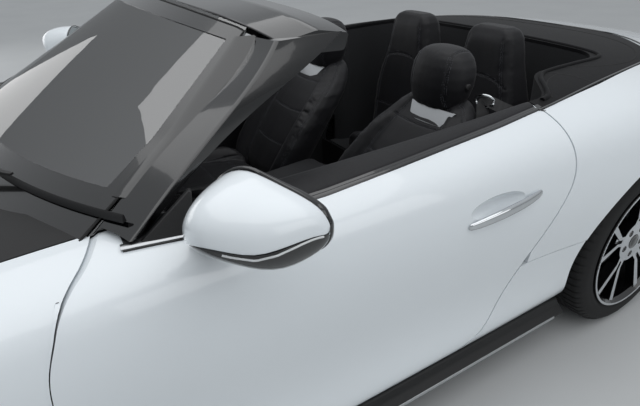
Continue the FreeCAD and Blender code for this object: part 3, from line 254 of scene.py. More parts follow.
def screen_glass():
    """Laminated float glass: nearly clear, faint green, sharp reflections that grow towards the edge."""
    material, tree = start("laminated_float_glass_clear")[:2]
    clear = add(tree, "ShaderNodeBsdfTransparent", {"Color": linear("#DCE6E3")}).outputs[0]
    gloss = add(tree, "ShaderNodeBsdfGlossy", {"Roughness": 0.01}).outputs[0]
    fresnel = add(tree, "ShaderNodeFresnel", {"IOR": 3.0}).outputs[0]
    skin = add(tree, "ShaderNodeMixShader", {0: fresnel, 1: clear, 2: gloss}).outputs[0]
    out = next(n for n in tree.nodes if n.type == "OUTPUT_MATERIAL")
    tree.links.new(skin, out.inputs["Surface"])
    return material


def clear_lens(name, tint, rough):
    """Moulded lens plastic: light goes in and comes back from what is behind."""
    material, tree, shader, place = start(name)
    shader.inputs["Base Color"].default_value = linear(tint)
    shader.inputs["Roughness"].default_value = rough
    shader.inputs["IOR"].default_value = 1.58
    shader.inputs["Transmission Weight"].default_value = 0.35
    shader.inputs["Coat Weight"].default_value = 0.6
    tree.links.new(relief(tree, noise(tree, place, 30, 1.0), 0.00003), shader.inputs["Normal"])
    return material


def rim_faces(colour):
    """Wheels in gloss black whose outward faces are diamond turned: bright, with fine rings."""
    material, tree, shader, place = start("gloss_black_wheel_with_turned_faces")
    facing = add(tree, "ShaderNodeTexCoord").outputs["Normal"]
    normal = add(tree, "ShaderNodeSeparateXYZ", {"Vector": facing}).outputs["X"]
    split = add(tree, "ShaderNodeSeparateXYZ", {"Vector": place})
    outward = add(tree, "ShaderNodeMath", {0: normal, 1: split.outputs["X"]}, operation="MULTIPLY").outputs[0]
    bright = add(tree, "ShaderNodeMath", {0: outward, 1: TURNED_FACE}, operation="GREATER_THAN").outputs[0]
    tone = noise(tree, place, 60, 2.0)
    black = shade_range(tree, tone, "#060607", "#0B0B0C")
    silver = shade_range(tree, tone, *shades(colour, 0.93, 1.08))
    mix = add(tree, "ShaderNodeMix", {0: bright}, data_type="RGBA")
    tree.links.new(black, mix.inputs["A"])
    tree.links.new(silver, mix.inputs["B"])
    tree.links.new(mix.outputs["Result"], shader.inputs["Base Color"])
    tree.links.new(bright, shader.inputs["Metallic"])
    shader.inputs["Roughness"].default_value = 0.24
    shader.inputs["Coat Weight"].default_value = 0.8
    shader.inputs["Coat Roughness"].default_value = 0.04
    tree.links.new(relief(tree, noise(tree, place, 2.5, 1.0), 0.000006), shader.inputs["Normal"])
    return material


# The normal's sideways share times the distance from the car's middle, above which a face is turned bright
TURNED_FACE = 0.75
MATERIALS = {}
# Each finish with the solids that have it, by the start of their names
SOLID_FINISHES = (
    ("white_paint", "fenders", "front_bumper", "bonnet", "boot_lid", "quarter_panels", "rear_bumper", "sills",
     "door_", "mirror_"),
    ("primer", "body_tub", "front_structure", "rear_structure"),
    ("satin_black", "side_skirts", "diffuser", "cowl", "wipers"),
    ("gloss_black", "grille", "windscreen_frame"),
    ("leather", "front_seats", "rear_seats", "steering_wheel"),
    ("trim", "dashboard", "console"),
    ("cast_aluminium", "engine", "suspension", "knuckle"),
    ("chrome", "exhaust", "handle_"),
    ("lamp_black", "headlamps"),
    ("red_lens", "tail_lamps"),
    ("glass", "windscreen_glass"),
    ("hood_skin", "stowed_top"),
    ("rubber", "tyre"),
    ("rim_faces", "rim"),
    ("disc_iron", "brake_disc"),
)


def finish_of(node):
    for finish, *starts in SOLID_FINISHES:
        if node.startswith(tuple(starts)):
            return finish
    raise RuntimeError(f"no finish for {node}")


def paint_nodes():
    for name, node in NODES.items():
        node.data.materials.clear()
        node.data.materials.append(MATERIALS[finish_of(name)])


# Mesh helpers. Points are in metres, in the car's frame

def mm(*values):
    return Vector(values) * MM


def curve_through(points, per_span=6, closed=False):
    """A smooth run of points through the given ones."""
    points = [Vector(p) for p in points]
    count = len(points)
    made = []
    for i in range(count if closed else count - 1):
        if closed:
            a, b, c, d = (points[(i + k) % count] for k in (-1, 0, 1, 2))
        else:
            b, c = points[i], points[i + 1]
            a = points[i - 1] if i else b * 2 - c
            d = points[i + 2] if i + 2 < count else c * 2 - b
        for k in range(per_span):
            t = k / per_span
            made.append(0.5 * (2 * b + (c - a) * t + (2 * a - 5 * b + 4 * c - d) * t * t
                               + (3 * b - a - 3 * c + d) * t ** 3))
    if not closed:
        made.append(points[-1])
    return made


def along(rows, value):
    """The columns of a table at a value of its first column, straight between rows."""
    for low, high in zip(rows, rows[1:]):
        if value <= high[0]:
            break
    share = min(max((value - low[0]) / (high[0] - low[0]), 0), 1)
    return [a + (b - a) * share for a, b in zip(low[1:], high[1:])]


def loft(rings, closed=True, caps=True):
    """Vertices and faces of a skin over rings of equally many points."""
    count = len(rings[0])
    verts = [Vector(p) for ring in rings for p in ring]
    faces = []
    for r in range(len(rings) - 1):
        for i in range(count if closed else count - 1):
            j = (i + 1) % count
            faces.append((r * count + i, r * count + j, (r + 1) * count + j, (r + 1) * count + i))
    if caps and closed:
        faces.append(tuple(reversed(range(count))))
        faces.append(tuple(range((len(rings) - 1) * count, len(rings) * count)))
    return verts, faces


def sweep(path, profile, normals=None, closed_path=False, widths=None):
    """Carries a closed profile of (across, out) points along a path; normals point out."""
    count = len(path)
    rings = []
    for i, p in enumerate(path):
        before = path[i - 1] if i or closed_path else p
        after = path[(i + 1) % count] if i + 1 < count or closed_path else p
        forward = (after - before).normalized()
        out = normals[i] if normals else Vector((0, 0, 1))
        across = forward.cross(out).normalized()
        out = across.cross(forward)
        scale = widths[i] if widths else 1
        rings.append([p + across * a * scale + out * b * scale for a, b in profile])
    if closed_path:
        rings.append(rings[0])
    return loft(rings, True, not closed_path)


def turns(count):
    """Even angles round a full turn."""
    return [2 * math.pi * i / count for i in range(count)]


def squared(value, power):
    """A cosine or sine pushed outwards, which turns a circle towards a rounded box."""
    return math.copysign(abs(value) ** power, value)


def round_profile(radius, sides=8, squash=1.0):
    return [(radius * math.cos(t), radius * squash * math.sin(t)) for t in turns(sides)]


def flat_profile(half_width, low, high):
    return [(-half_width, low), (half_width, low), (half_width, high), (-half_width, high)]


def block(x, y, z):
    """A box between two values of each, in millimetres."""
    corners = ((x[0], y[0]), (x[1], y[0]), (x[1], y[1]), (x[0], y[1]))
    return loft([[mm(a, b, height) for a, b in corners] for height in z])


def joined(parts):
    """Several (vertices, faces) as one."""
    verts, faces = [], []
    for part_verts, part_faces in parts:
        shift = len(verts)
        verts += part_verts
        faces += [tuple(i + shift for i in face) for face in part_faces]
    return verts, faces


def piece(name, shape, finish, body, sign=1, bevel=0.0, levels=0, sharp=42):
    """Makes one object of the scene, on the left or mirrored to the right, riding on its body."""
    verts, faces = shape
    if sign < 0:
        verts = [Vector((-v.x, v.y, v.z)) for v in verts]
        faces = [tuple(reversed(face)) for face in faces]
    mesh = bpy.data.meshes.new(name)
    mesh.from_pydata(verts, [], faces)
    mesh.materials.append(MATERIALS[finish])
    made = bpy.data.objects.new(name, mesh)
    bpy.context.scene.collection.objects.link(made)
    tidy = bmesh.new()
    tidy.from_mesh(mesh)
    bmesh.ops.remove_doubles(tidy, verts=tidy.verts, dist=0.00001)
    bmesh.ops.recalc_face_normals(tidy, faces=tidy.faces)
    tidy.to_mesh(mesh)
    tidy.free()
    mesh.shade_smooth()
    if bevel:
        cut = made.modifiers.new("eased_edges", "BEVEL")
        cut.width = bevel
        cut.segments = 2
        cut.limit_method = "ANGLE"
        cut.angle_limit = math.radians(35)
    if levels:
        finer = made.modifiers.new("finer", "SUBSURF")
        finer.levels = finer.render_levels = levels
    else:
        mesh.set_sharp_from_angle(angle=math.radians(sharp))
    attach(made, body)
    return made


def tree_of(names):
    """A search tree over the faces of several solids."""
    verts, faces = [], []
    for name in names:
        mesh = NODES[name].data
        shift = len(verts)
        verts += [v.co.copy() for v in mesh.vertices]
        faces += [tuple(i + shift for i in p.vertices) for p in mesh.polygons]
    return BVHTree.FromPolygons(verts, faces)


SKINS = tree_of(["door_left", "fenders", "quarter_panels", "stowed_top", "cowl", "bonnet", "boot_lid",
                 "sills", "front_bumper", "rear_bumper", "headlamps", "tail_lamps"])
SHUT_GAP = 0.009
EDGE_RAYS = 900
LEAST_SKIN_X = 0.75
ACROSS = Vector((1, 0, 0))
BACK = Vector((0, 1, 0))
UP = Vector((0, 0, 1))


def touch(x, y, z, towards, step):
    """Where a ray meets the outer skins; three rays are sent so that a shut line doesn't swallow it."""
    found = []
    for shift in (-SHUT_GAP, 0, SHUT_GAP):
        start_point = Vector((x, y, z)) + step * shift
        hit, normal = SKINS.ray_cast(start_point, towards)[:2]
        if hit is not None:
            found.append((hit.dot(towards), hit - step * shift, normal))
    if not found:
        raise RuntimeError(f"no skin at {x:.3f} {y:.3f} {z:.3f}")
    found.sort(key=lambda item: item[0])
    best = found[0]
    normal = best[2] if best[2].dot(towards) < 0 else -best[2]
    return best[1], normal


def on_top(x, y):
    """The body's surface seen from above, with its normal."""
    return touch(x, y, 1.6, -UP, BACK)


def on_side(y, z):
    return touch(1.4, y, z, -ACROSS, BACK)


def on_nose(x, z):
    return touch(x, -2.8, z, BACK, ACROSS)


def on_tail(x, z):
    return touch(x, 2.8, z, -BACK, ACROSS)


def edge_on(skin, z, start_y, step):
    """Where rays from the side, sent one beside the other, first meet a skin."""
    for k in range(EDGE_RAYS):
        hit = skin.ray_cast(Vector((1.4, start_y + k * step, z)), -ACROSS)[0]
        if hit is not None and hit.x > LEAST_SKIN_X:
            return hit
    raise RuntimeError(f"no edge at {z:.3f}")


def turned(profile, centre, steps=64):
    """A ring turned about a wheel's axle from (offset outwards, radius) points."""
    rings = []
    for i in range(steps + 1):
        t = 2 * math.pi * i / steps
        ring = [centre + Vector((a, r * math.cos(t), r * math.sin(t))) for a, r in profile]
        rings.append(ring)
    return loft(rings, True, False)


def turned_about(profile, centre, axis, steps):
    """A ring turned about any axis from (distance along it, radius) points."""
    verts, faces = turned(profile, Vector(), steps)
    turn = ACROSS.rotation_difference(axis).to_matrix()
    return [turn @ v + centre for v in verts], faces


def cover(rows, place, thickness, lift=0.0):
    """A thin closed skin that follows a surface over a grid of (a, b) points."""
    tops, bottoms = [], []
    for row in rows:
        hits = [place(a, b) for a, b in row]
        tops.append([hit + normal * (thickness + lift) for hit, normal in hits])
        bottoms.append([hit + normal * (lift - 0.001) for hit, normal in hits])
    count = len(rows[0])
    verts = [p for row in tops + bottoms for p in row]
    base = len(rows) * count
    faces = []
    for r in range(len(rows) - 1):
        for i in range(count - 1):
            a = r * count + i
            faces.append((a, a + 1, a + count + 1, a + count))
            faces.append((base + a, base + a + count, base + a + count + 1, base + a + 1))
    for i in range(count - 1):
        last = (len(rows) - 1) * count + i
        faces.append((i, base + i, base + i + 1, i + 1))
        faces.append((last, last + 1, base + last + 1, base + last))
    for r in range(len(rows) - 1):
        a = r * count
        b = a + count - 1
        faces.append((a, a + count, base + a + count, base + a))
        faces.append((b, base + b, base + b + count, b + count))
    return verts, faces


# Wheels

WHEELS = (("front", FRONT_AXLE, 0.816, 0.265), ("rear", REAR_AXLE, 0.803, 0.295))
TREAD_BLOCKS = 68
TYRE_R = 0.357
BEAD_R = 0.2575
BOLT_CIRCLE_R = 0.056
FACE_SETBACK = 0.026
VALVE = ((-0.02, 0.232, 0.060), (0, 0.222, 0.057), (0.008, 0.214, 0.055))


def tyre_shape(centre, width, tread_depth):
    """Sidewalls with two ribs, four grooves round the tread and cross cuts in its blocks."""
    half = width / 2
    side = [(half - 0.018, BEAD_R), (half - 0.006, 0.272), (half - 0.001, 0.284), (half + 0.0005, 0.292),
            (half - 0.0008, 0.296), (half - 0.0002, 0.304), (half - 0.003, 0.322), (half - 0.010, 0.338),
            (half - 0.020, 0.3495)]
    inner = half - 0.034
    crown = [(inner + 0.006, 0.354)]
    for share in (0.6, 0.2, -0.2, -0.6):
        middle = inner * share
        crown += [(middle + 0.006, 0.3565), (middle + 0.004, TYRE_R - tread_depth),
                  (middle - 0.004, TYRE_R - tread_depth), (middle - 0.006, 0.3565)]
    crown.append((-inner - 0.006, 0.354))
    profile = side + crown + [(-a, r) for a, r in reversed(side)]
    rings = []
    for i in range(TREAD_BLOCKS * 4):
        block, part = divmod(i, 4)
        turn = 2 * math.pi * (block + (0.0, 0.13, 0.19, 0.87)[part]) / TREAD_BLOCKS
        cut = tread_depth * 0.8 if part in (0, 1) else 0.0
        ring = []
        for a, r in profile:
            near = abs(a) / half
            radius = r - cut if r > 0.347 and near > 0.5 else r
            if r > 0.35 and near < 0.4:
                radius = r - cut * 0.5
            lean = turn + (a / half) * 0.018
            ring.append(centre + Vector((a, radius * math.cos(lean), radius * math.sin(lean))))
        rings.append(ring)
    rings.append(rings[0])
    return loft(rings, True, False)


def bolt_shapes(centre, face_x):
    parts = []
    for i in range(5):
        turn = 2 * math.pi * (i + 0.5) / 5
        middle = centre + Vector((0, -math.sin(turn), math.cos(turn))) * BOLT_CIRCLE_R
        rings = []
        for a, r in ((face_x - 0.012, 0.0105), (face_x - 0.001, 0.0105), (face_x + 0.0005, 0.009),
                     (face_x + 0.0005, 0.005), (face_x - 0.006, 0.0045)):
            rings.append([middle + Vector((a, r * math.cos(t), r * math.sin(t))) for t in turns(6)])
        parts.append(loft(rings))
    return joined(parts)


class CarWheels(bpy.types.Operator):
    """Makes the treaded tyres, the wheel bolts, the plain caps and the valves"""
    bl_idname = "roadster.wheels"
    bl_label = "Tyres, Bolts and Caps"

    def execute(self, context):
        depth = context.scene.roadster_sizes.tread_depth
        for end, axle, x, width in WHEELS:
            for side, sign in LEFT_AND_RIGHT:
                body = f"wheel_{end}_{side}"
                centre = Vector((x, axle.y, axle.z))
                which = f"{end}_{side}"
                tyre = piece(f"treaded_tyre_{which}", tyre_shape(centre, width, depth), "rubber", body, sign)
                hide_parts(f"tyre_{which}")
                face_x = width / 2 - FACE_SETBACK
                piece(f"wheel_bolts_{which}", bolt_shapes(centre, face_x), "disc_iron", body, sign, sharp=30)
                cap = [(face_x - 0.004, 0.0305), (face_x + 0.002, 0.031), (face_x + 0.004, 0.029),
                       (face_x + 0.0035, 0.027), (face_x + 0.0065, 0.020), (face_x + 0.008, 0.010),
                       (face_x + 0.0083, 0.0002), (face_x - 0.004, 0.0002)]
                piece(f"wheel_cap_{which}", turned(cap, centre, 40), "gloss_black", body, sign, sharp=60)
                valve = [centre + Vector((width / 2 + out, y, z)) for out, y, z in VALVE]
                piece(f"tyre_valve_{which}", sweep(valve, round_profile(0.0042)), "rubber", body, sign)
        return {"FINISHED"}


# Door mirrors. Sections run from the inboard rear corner to the outboard tip: share of that line,
# depth ahead of it, low and high z in millimetres, and the share of the way round where the lip starts

MIRROR_INBOARD = mm(888, -380, 0)
MIRROR_TIP = mm(1088, -240, 0)
MIRROR_AHEAD = (MIRROR_TIP - MIRROR_INBOARD).normalized().cross(UP)
MIRROR_SECTIONS = (
    (0.0, 88, 958, 1020, 0.64), (0.03, 104, 964, 1050, 0.66), (0.1, 124, 965, 1073, 0.61),
    (0.22, 146, 966, 1093, 0.55), (0.36, 145, 957, 1099, 0.53), (0.5, 130, 945, 1089, 0.53),
    (0.64, 114, 936, 1077, 0.52), (0.76, 94, 939, 1067, 0.49), (0.86, 66, 952, 1056, 0.47),
    (0.94, 36, 966, 1043, 0.46), (0.985, 20, 982, 1024, 0.46), (1.0, 11, 996, 1014, 0.46),
)
MIRROR_FOOT = (
    (910, 842, 892, -424, -366), (932, 850, 898, -424, -366), (950, 862, 915, -424, -360),
    (968, 880, 950, -424, -352), (982, 890, 972, -424, -350),
)
MIRROR_STEPS = 26


def mirror_point(section, turn, shrink=0.0):
    """A point of the head's skin; turn runs from its upper rear edge round the front to the lower."""
    share, depth, low, high = section[:4]
    base = MIRROR_INBOARD + (MIRROR_TIP - MIRROR_INBOARD) * share
    half = (high - low) / 2 - shrink
    middle = (high + low) / 2
    angle = math.pi * turn
    bulge = max(math.sin(angle), 0) ** 0.72
    rise = squared(math.cos(angle), 0.86)
    return base + MIRROR_AHEAD * ((depth - shrink) * bulge * MM) + UP * ((middle + half * rise) * MM)


def mirror_skin(painted, shrink, steps):
    """The painted cap above the lip, or the black shell below it, as a closed skin 4 mm thick."""
    rings = []
    for section in MIRROR_SECTIONS:
        first, last = (0.0, section[4]) if painted else (section[4] + 0.008, 1.0)
        places = [first + (last - first) * k / steps for k in range(steps + 1)]
        outer = [mirror_point(section, place, shrink) for place in places]
        inner = [mirror_point(section, place, shrink + 4) for place in reversed(places)]
        rings.append(outer + inner)
    return loft(rings)


def mirror_rim():
    """The black frame round the glass, at the rear opening; it widens towards the tip."""
    edge = [mirror_point(section, 0.0) for section in MIRROR_SECTIONS]
    edge += [mirror_point(section, 1.0) for section in reversed(MIRROR_SECTIONS)]
    back = Vector((-0.003, 0.0045, 0))
    path = curve_through([p + back for p in edge], 3, True)
    middle = sum(path, Vector()) / len(path)
    normals = [(p - middle).normalized() for p in path]
    widths = [0.45 + 0.55 * smooth_step((p.x - 0.96) / 0.1) for p in path]
    profile = [(-0.007, -0.004), (-0.007, 0.0005), (-0.003, 0.0018), (0.004, 0.0008), (0.008, -0.004)]
    return sweep(path, profile, normals, True, widths)


def mirror_glass():
    rings = []
    for depth in (0.004, 0.008):
        ring = [mirror_point(s, 0.0, 5) + MIRROR_AHEAD * depth for s in MIRROR_SECTIONS]
        ring += [mirror_point(s, 1.0, 5) + MIRROR_AHEAD * depth for s in reversed(MIRROR_SECTIONS)]
        rings.append(ring)
    return loft(rings)


def mirror_foot():
    """The black arm from the door to the head, waisted where it meets the glass line."""
    rings = []
    for z, x0, x1, y0, y1 in MIRROR_FOOT:
        cx, cy, rx, ry = (x0 + x1) / 2, (y0 + y1) / 2, (x1 - x0) / 2, (y1 - y0) / 2
        ring = []
        for t in turns(24):
            a = squared(math.cos(t), 0.7) * rx
            ring.append(mm(cx + a, cy + squared(math.sin(t), 0.7) * ry + 0.35 * a, z))
        rings.append(ring)
    return loft(rings)


class CarMirrors(bpy.types.Operator):
    """Makes the door mirrors: painted cap, black lip, rim and foot, lamp strip and glass"""
    bl_idname = "roadster.mirrors"
    bl_label = "Door Mirrors"

    def execute(self, context):
        for side, sign in LEFT_AND_RIGHT:
            body = f"door_{side}"
            cap = piece(f"mirror_cap_{side}", mirror_skin(True, 0, MIRROR_STEPS), "white_paint", body,
                        sign, levels=1)
            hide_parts(f"mirror_{side}")
            piece(f"mirror_lower_shell_{side}", mirror_skin(False, 1.0, 12), "gloss_black", body,
                  sign, levels=1)
            sections = [along_mirror(0.44 + 0.54 * k / 20) for k in range(21)]
            strip = [mirror_point(section, section[4] + 0.03, 0.4) for section in sections]
            piece(f"mirror_lamp_strip_{side}", sweep(strip, round_profile(0.0020, 8)), "lens", body, sign)
            piece(f"mirror_rim_{side}", mirror_rim(), "gloss_black", body, sign)
            piece(f"mirror_glass_{side}", mirror_glass(), "silvered", body, sign, sharp=30)
            piece(f"mirror_foot_{side}", mirror_foot(), "gloss_black", body, sign, levels=1)
        return {"FINISHED"}


def along_mirror(share):
    return [share] + along(MIRROR_SECTIONS, share)


# Doors. The belt is where the white skin ends and the black moulding starts: y, then x, millimetres

BELT_EDGE = ((-600, 820), (-548, 821), (-431, 838), (-260, 843), (-83, 842), (135, 830), (317, 819),
             (523, 809), (700, 795), (860, 778), (1082, 753), (1410, 706))
DOOR_FRONT_EDGE = ((280, -600), (560, -616), (800, -606), (900, -560), (925, -540))
DOOR_REAR_EDGE = ((279, 305), (311, 380), (362, 440), (428, 495), (498, 540), (573, 580), (630, 608),
                  (687, 640), (735, 666), (782, 684), (925, 690))
CARD_X = 744
CARD_HEIGHTS = (285, 300, 320, 350, 400, 450, 480, 500, 520, 545, 570, 590, 600, 612, 625, 640, 655, 668, 676,
                684, 700, 730, 770, 810, 850, 880, 905, 918, 925)
# Offsets of a belt row below this are distances from the edge, and above it they are places across the car
LARGEST_OFFSET = 400
INNERMOST_X = 745
INNERMOST_SKIN_X = 750


def belt_rows(y0, y1, offsets, steps):
    """Rows along the belt: each offset is (distance inboard of the edge or an x, height over the skin)."""
    rows = []
    for k in range(steps + 1):
        y = y0 + (y1 - y0) * k / steps
        edge = along(BELT_EDGE, y)[0]
        row = []
        for x, lift in offsets:
            at_x = max(edge - x if x < LARGEST_OFFSET else x, INNERMOST_X)
            foot = on_top(max(at_x, INNERMOST_SKIN_X) * MM, y * MM)[0]
            row.append(Vector((at_x * MM, y * MM, foot.z + lift * MM)))
        rows.append(row)
    return rows


def door_card():
    """The inner trim of a door: a swelling armrest, a map pocket and a rolled upper edge."""
    rows = []
    for z in CARD_HEIGHTS:
        front = along(DOOR_FRONT_EDGE, z)[0]
        rear = along(DOOR_REAR_EDGE, z)[0]
        row = []
        for k in range(41):
            share = k / 40
            y = front + (rear - front) * share
            rest = math.exp(-((z - 652) / 30) ** 4)
            rest *= smooth_step((y + 420) / 180) * smooth_step((560 - y) / 160)
            pocket = math.exp(-((z - 420) / 90) ** 4)
            pocket *= smooth_step((y + 520) / 120) * smooth_step((260 - y) / 120)
            rolled = 9 * smooth_step((z - 860) / 60)
            edge = min(share, 1 - share) * 40
            depth = 4 + 8 * min(edge, 1) + 46 * rest + 20 * pocket + rolled
            row.append(mm(CARD_X - depth, y, z))
        rows.append(row)
    back = [[mm(CARD_X - 1, p.y / MM, p.z / MM) for p in row] for row in rows]
    rings = [row + list(reversed(behind)) for row, behind in zip(rows, back)]
    return loft(rings)


def smooth_step(value):
    value = min(max(value, 0), 1)
    return value * value * (3 - 2 * value)


HANDLE_PATH = ((292, 754), (318, 757), (360, 762), (430, 769), (500, 775), (548, 780), (574, 782))
SCOOP_ABOVE = 56
SCOOP_BELOW = 46


def handle_bar():
    """A bar that leaves the skin at both ends and is flattened towards them."""
    ends = HANDLE_PATH[0][0], HANDLE_PATH[-1][0]
    path, normals, widths = [], [], []
    for p in curve_through([(0, y, z) for y, z in HANDLE_PATH], 5):
        y, z = p.y, p.z
        share = (y - ends[0]) / (ends[1] - ends[0])
        arch = math.sin(math.pi * min(max(share, 0), 1)) ** 0.55
        path.append(handle_skin(y, z) + ACROSS * (2 + 15 * arch) * MM)
        normals.append(ACROSS)
        widths.append(0.42 + 0.58 * arch ** 0.6)
    profile = [(squared(math.cos(t), 0.75) * 0.0155, math.sin(t) * 0.009) for t in turns(16)]
    return sweep(path, profile, normals, False, widths)


def handle_skin(y, z):
    """The skin beside the scoop, so that the bar doesn't dip into it."""
    above = on_side(y * MM, (z + SCOOP_ABOVE) * MM)[0]
    below = on_side(y * MM, (z - SCOOP_BELOW) * MM)[0]
    return (above * SCOOP_BELOW + below * SCOOP_ABOVE) / (SCOOP_ABOVE + SCOOP_BELOW)


def sail():
    """The small black triangle in the front corner of the window opening."""
    outer = [mm(823, -528, 922), mm(838, -424, 922), mm(830, -404, 962), mm(806, -392, 1006),
             mm(800, -396, 1008)]
    inner = [p + mm(-14, 4, 0) for p in outer]
    return loft([outer, inner])


class CarDoors(bpy.types.Operator):
    """Makes the belt mouldings, door cards, handles and the black triangles ahead of the windows"""
    bl_idname = "roadster.doors"
    bl_label = "Door Trim"

    def execute(self, context):
        bead = ((0, -1.5), (0.5, 2.6), (3, 3.6), (8, 3.8), (11, 3.0), (12.5, 0.6), (21, 0.6), (22, -3))
        pad = ((19, -3), (21.5, 1.5), (26, 4.2), (752, 5.5), (747, 4.6), (745, 0.5), (745, -20))
        for side, sign in LEFT_AND_RIGHT:
            body = f"door_{side}"
            rows = belt_rows(-546, 715, bead, 90)
            piece(f"belt_moulding_{side}", loft(rows, True), "gloss_black", body, sign, sharp=60)
            rows = belt_rows(-540, 715, pad, 90)
            piece(f"door_top_pad_{side}", loft(rows, True), "leather", body, sign, sharp=60)
            piece(f"door_card_{side}", door_card(), "leather", body, sign, sharp=70)
            line = [mm(CARD_X - 14, y, 838) for y in range(-520, 661, 20)]
            strip = sweep(line, round_profile(0.005, 8, 0.6))
            piece(f"door_card_strip_{side}", strip, "satin_silver", body, sign)
            pull = curve_through([mm(735, -330, 742), mm(716, -316, 742), mm(712, -262, 744),
                                  mm(716, -208, 746), mm(735, -194, 746)], 6)
            grip = sweep(pull, round_profile(0.007, 10, 1.4))
            piece(f"inner_door_handle_{side}", grip, "chrome", body, sign)
            bar = piece(f"handle_bar_{side}", handle_bar(), "chrome", body, sign, sharp=80)
            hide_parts(f"handle_{side}")
            piece(f"window_corner_{side}", sail(), "satin_black", body, sign, bevel=0.0025)
            tip = [on_top((along(BELT_EDGE, y)[0] - 10) * MM, y * MM)[0] + UP * 0.0038
                   for y in range(-548, -423, 6)]
            end = sweep(tip, round_profile(0.0105, 12, 0.36))
            piece(f"belt_front_end_{side}", end, "satin_silver", body, sign)
        return {"FINISHED"}


# Seats. Tables run upwards: height, half width, then y of the front face at the middle and at the
# bolsters, and of the back

SEAT_X = 395
BACK_STATIONS = (
    (378, 205, 302, 262, 372), (392, 228, 288, 240, 388), (440, 240, 300, 240, 414),
    (520, 247, 346, 282, 466), (600, 249, 400, 336, 522), (680, 246, 458, 400, 580),
    (750, 238, 516, 468, 638), (805, 222, 568, 530, 684), (850, 198, 616, 590, 718),
    (885, 172, 648, 634, 738), (908, 146, 668, 664, 744), (922, 118, 684, 682, 742),
    (928, 92, 698, 698, 734),
)
CUSHION_STATIONS = (
    (-238, 190, 440, 452, 345), (-232, 226, 458, 478, 338), (-200, 242, 466, 496, 336),
    (-120, 246, 462, 502, 336), (0, 246, 452, 502, 336), (120, 244, 440, 500, 336),
    (210, 240, 430, 494, 338), (270, 228, 424, 476, 342), (296, 200, 416, 446, 350),
)
REST_STATIONS = (
    (879, 50, 30), (884, 84, 50), (900, 104, 66), (930, 119, 77), (965, 127, 83), (1000, 128, 84),
    (1035, 122, 80), (1062, 108, 71), (1080, 88, 58), (1090, 62, 40), (1094, 34, 22),
)
REST_MIDDLE_Y = ((879, 668), (930, 684), (1000, 694), (1060, 700), (1094, 702))
BACK_TOP_SEAM = (
    (-214, 556, 800), (-186, 620, 858), (-150, 656, 898), (-104, 674, 916), (0, 672, 916), (104, 674, 916),
    (150, 656, 898), (186, 620, 858), (214, 556, 800),
)
BELT_PATH = (
    (690, 835, 868), (620, 775, 905), (563, 736, 920), (591, 700, 840), (621, 610, 640), (647, 480, 420),
    (657, 400, 320),
)
REST_SEAM = (
    (84, 640, 896), (92, 604, 940), (94, 600, 1000), (92, 612, 1060), (84, 650, 1096), (84, 704, 1106),
    (86, 750, 1090), (92, 784, 1040), (94, 790, 980), (88, 772, 920),
)
REAR_SEAT_X = 245
REAR_BACK_STATIONS = (
    (374, 190, 1012, 1140), (390, 206, 1004, 1150), (500, 212, 1012, 1160), (620, 213, 1026, 1172),
    (740, 208, 1040, 1184), (820, 190, 1050, 1190), (890, 164, 1058, 1193), (950, 146, 1063, 1192),
    (1020, 132, 1068, 1188), (1070, 120, 1072, 1182), (1096, 104, 1080, 1174), (1108, 80, 1096, 1160),
)
REAR_CUSHION_STATIONS = (
    (858, 180, 440, 378), (866, 206, 470, 374), (900, 212, 478, 374), (960, 212, 464, 374),
    (1010, 210, 452, 374), (1030, 200, 446, 376),
)


def valley_at(half_width):
    """How far from the seat's middle the bolster starts."""
    return max(half_width - 98, half_width * 0.56)


def seat_ring(half_width, middle, bolster, far):
    """Half of a section with a bolster at its side, as (sideways, depth), from front to back."""
    valley = valley_at(half_width)
    crest = half_width - 30
    return [
        (0, middle), (valley * 0.35, middle - 1), (valley * 0.7, middle), (valley - 6, middle + 4),
        (valley + 2, middle + 4), (valley + 14, bolster + (middle - bolster) * 0.55),
        (valley + 32, bolster + (middle - bolster) * 0.14), (crest, bolster), (half_width - 10, bolster + 12),
        (half_width, bolster + (far - bolster) * 0.34), (half_width, far - (far - bolster) * 0.3),
        (half_width - 12, far - (far - bolster) * 0.08), (half_width - 42, far), (half_width * 0.45, far + 2),
        (0, far + 2),
    ]


def whole_ring(half, place):
    ring = [place(a, b) for a, b in half]
    return ring + [place(-a, b) for a, b in reversed(half[1:-1])]


def seat_back():
    return loft([whole_ring(seat_ring(hw, mid, bol, far), lambda a, b: mm(SEAT_X + a, b, z))
                 for z, hw, mid, bol, far in BACK_STATIONS])


def seat_cushion():
    rings = []
    for y, hw, mid, bol, low in CUSHION_STATIONS:
        half = seat_ring(hw, -mid, -bol, -low)
        rings.append(whole_ring(half, lambda a, b: mm(SEAT_X + a, y, -b)))
    return loft(rings)


def head_rest():
    """A round-cornered pillow, flatter in front than behind."""
    rings = []
    for z, half_x, half_y in REST_STATIONS:
        middle = along(REST_MIDDLE_Y, z)[0]
        rings.append([mm(SEAT_X + squared(math.cos(t), 0.8) * half_x,
                         middle + squared(math.sin(t), 0.86) * half_y, z) for t in turns(32)])
    return loft(rings)


def rear_ring(half_width, near, far):
    return [(0, near + 6), (half_width * 0.5, near + 4), (half_width * 0.8, near),
            (half_width - 14, near + 6), (half_width, near + 26), (half_width, far - 26),
            (half_width - 14, far - 4), (half_width * 0.5, far), (0, far)]


def rear_back():
    return loft([whole_ring(rear_ring(hw, near, far), lambda a, b: mm(REAR_SEAT_X + a, b, z))
                 for z, hw, near, far in REAR_BACK_STATIONS])


def rear_cushion():
    return loft([whole_ring(rear_ring(hw, -high, -low), lambda a, b: mm(REAR_SEAT_X + a, y, -b))
                 for y, hw, high, low in REAR_CUSHION_STATIONS])


PADDING_FRAMES = 20
PADDING_PRESSURE = 4


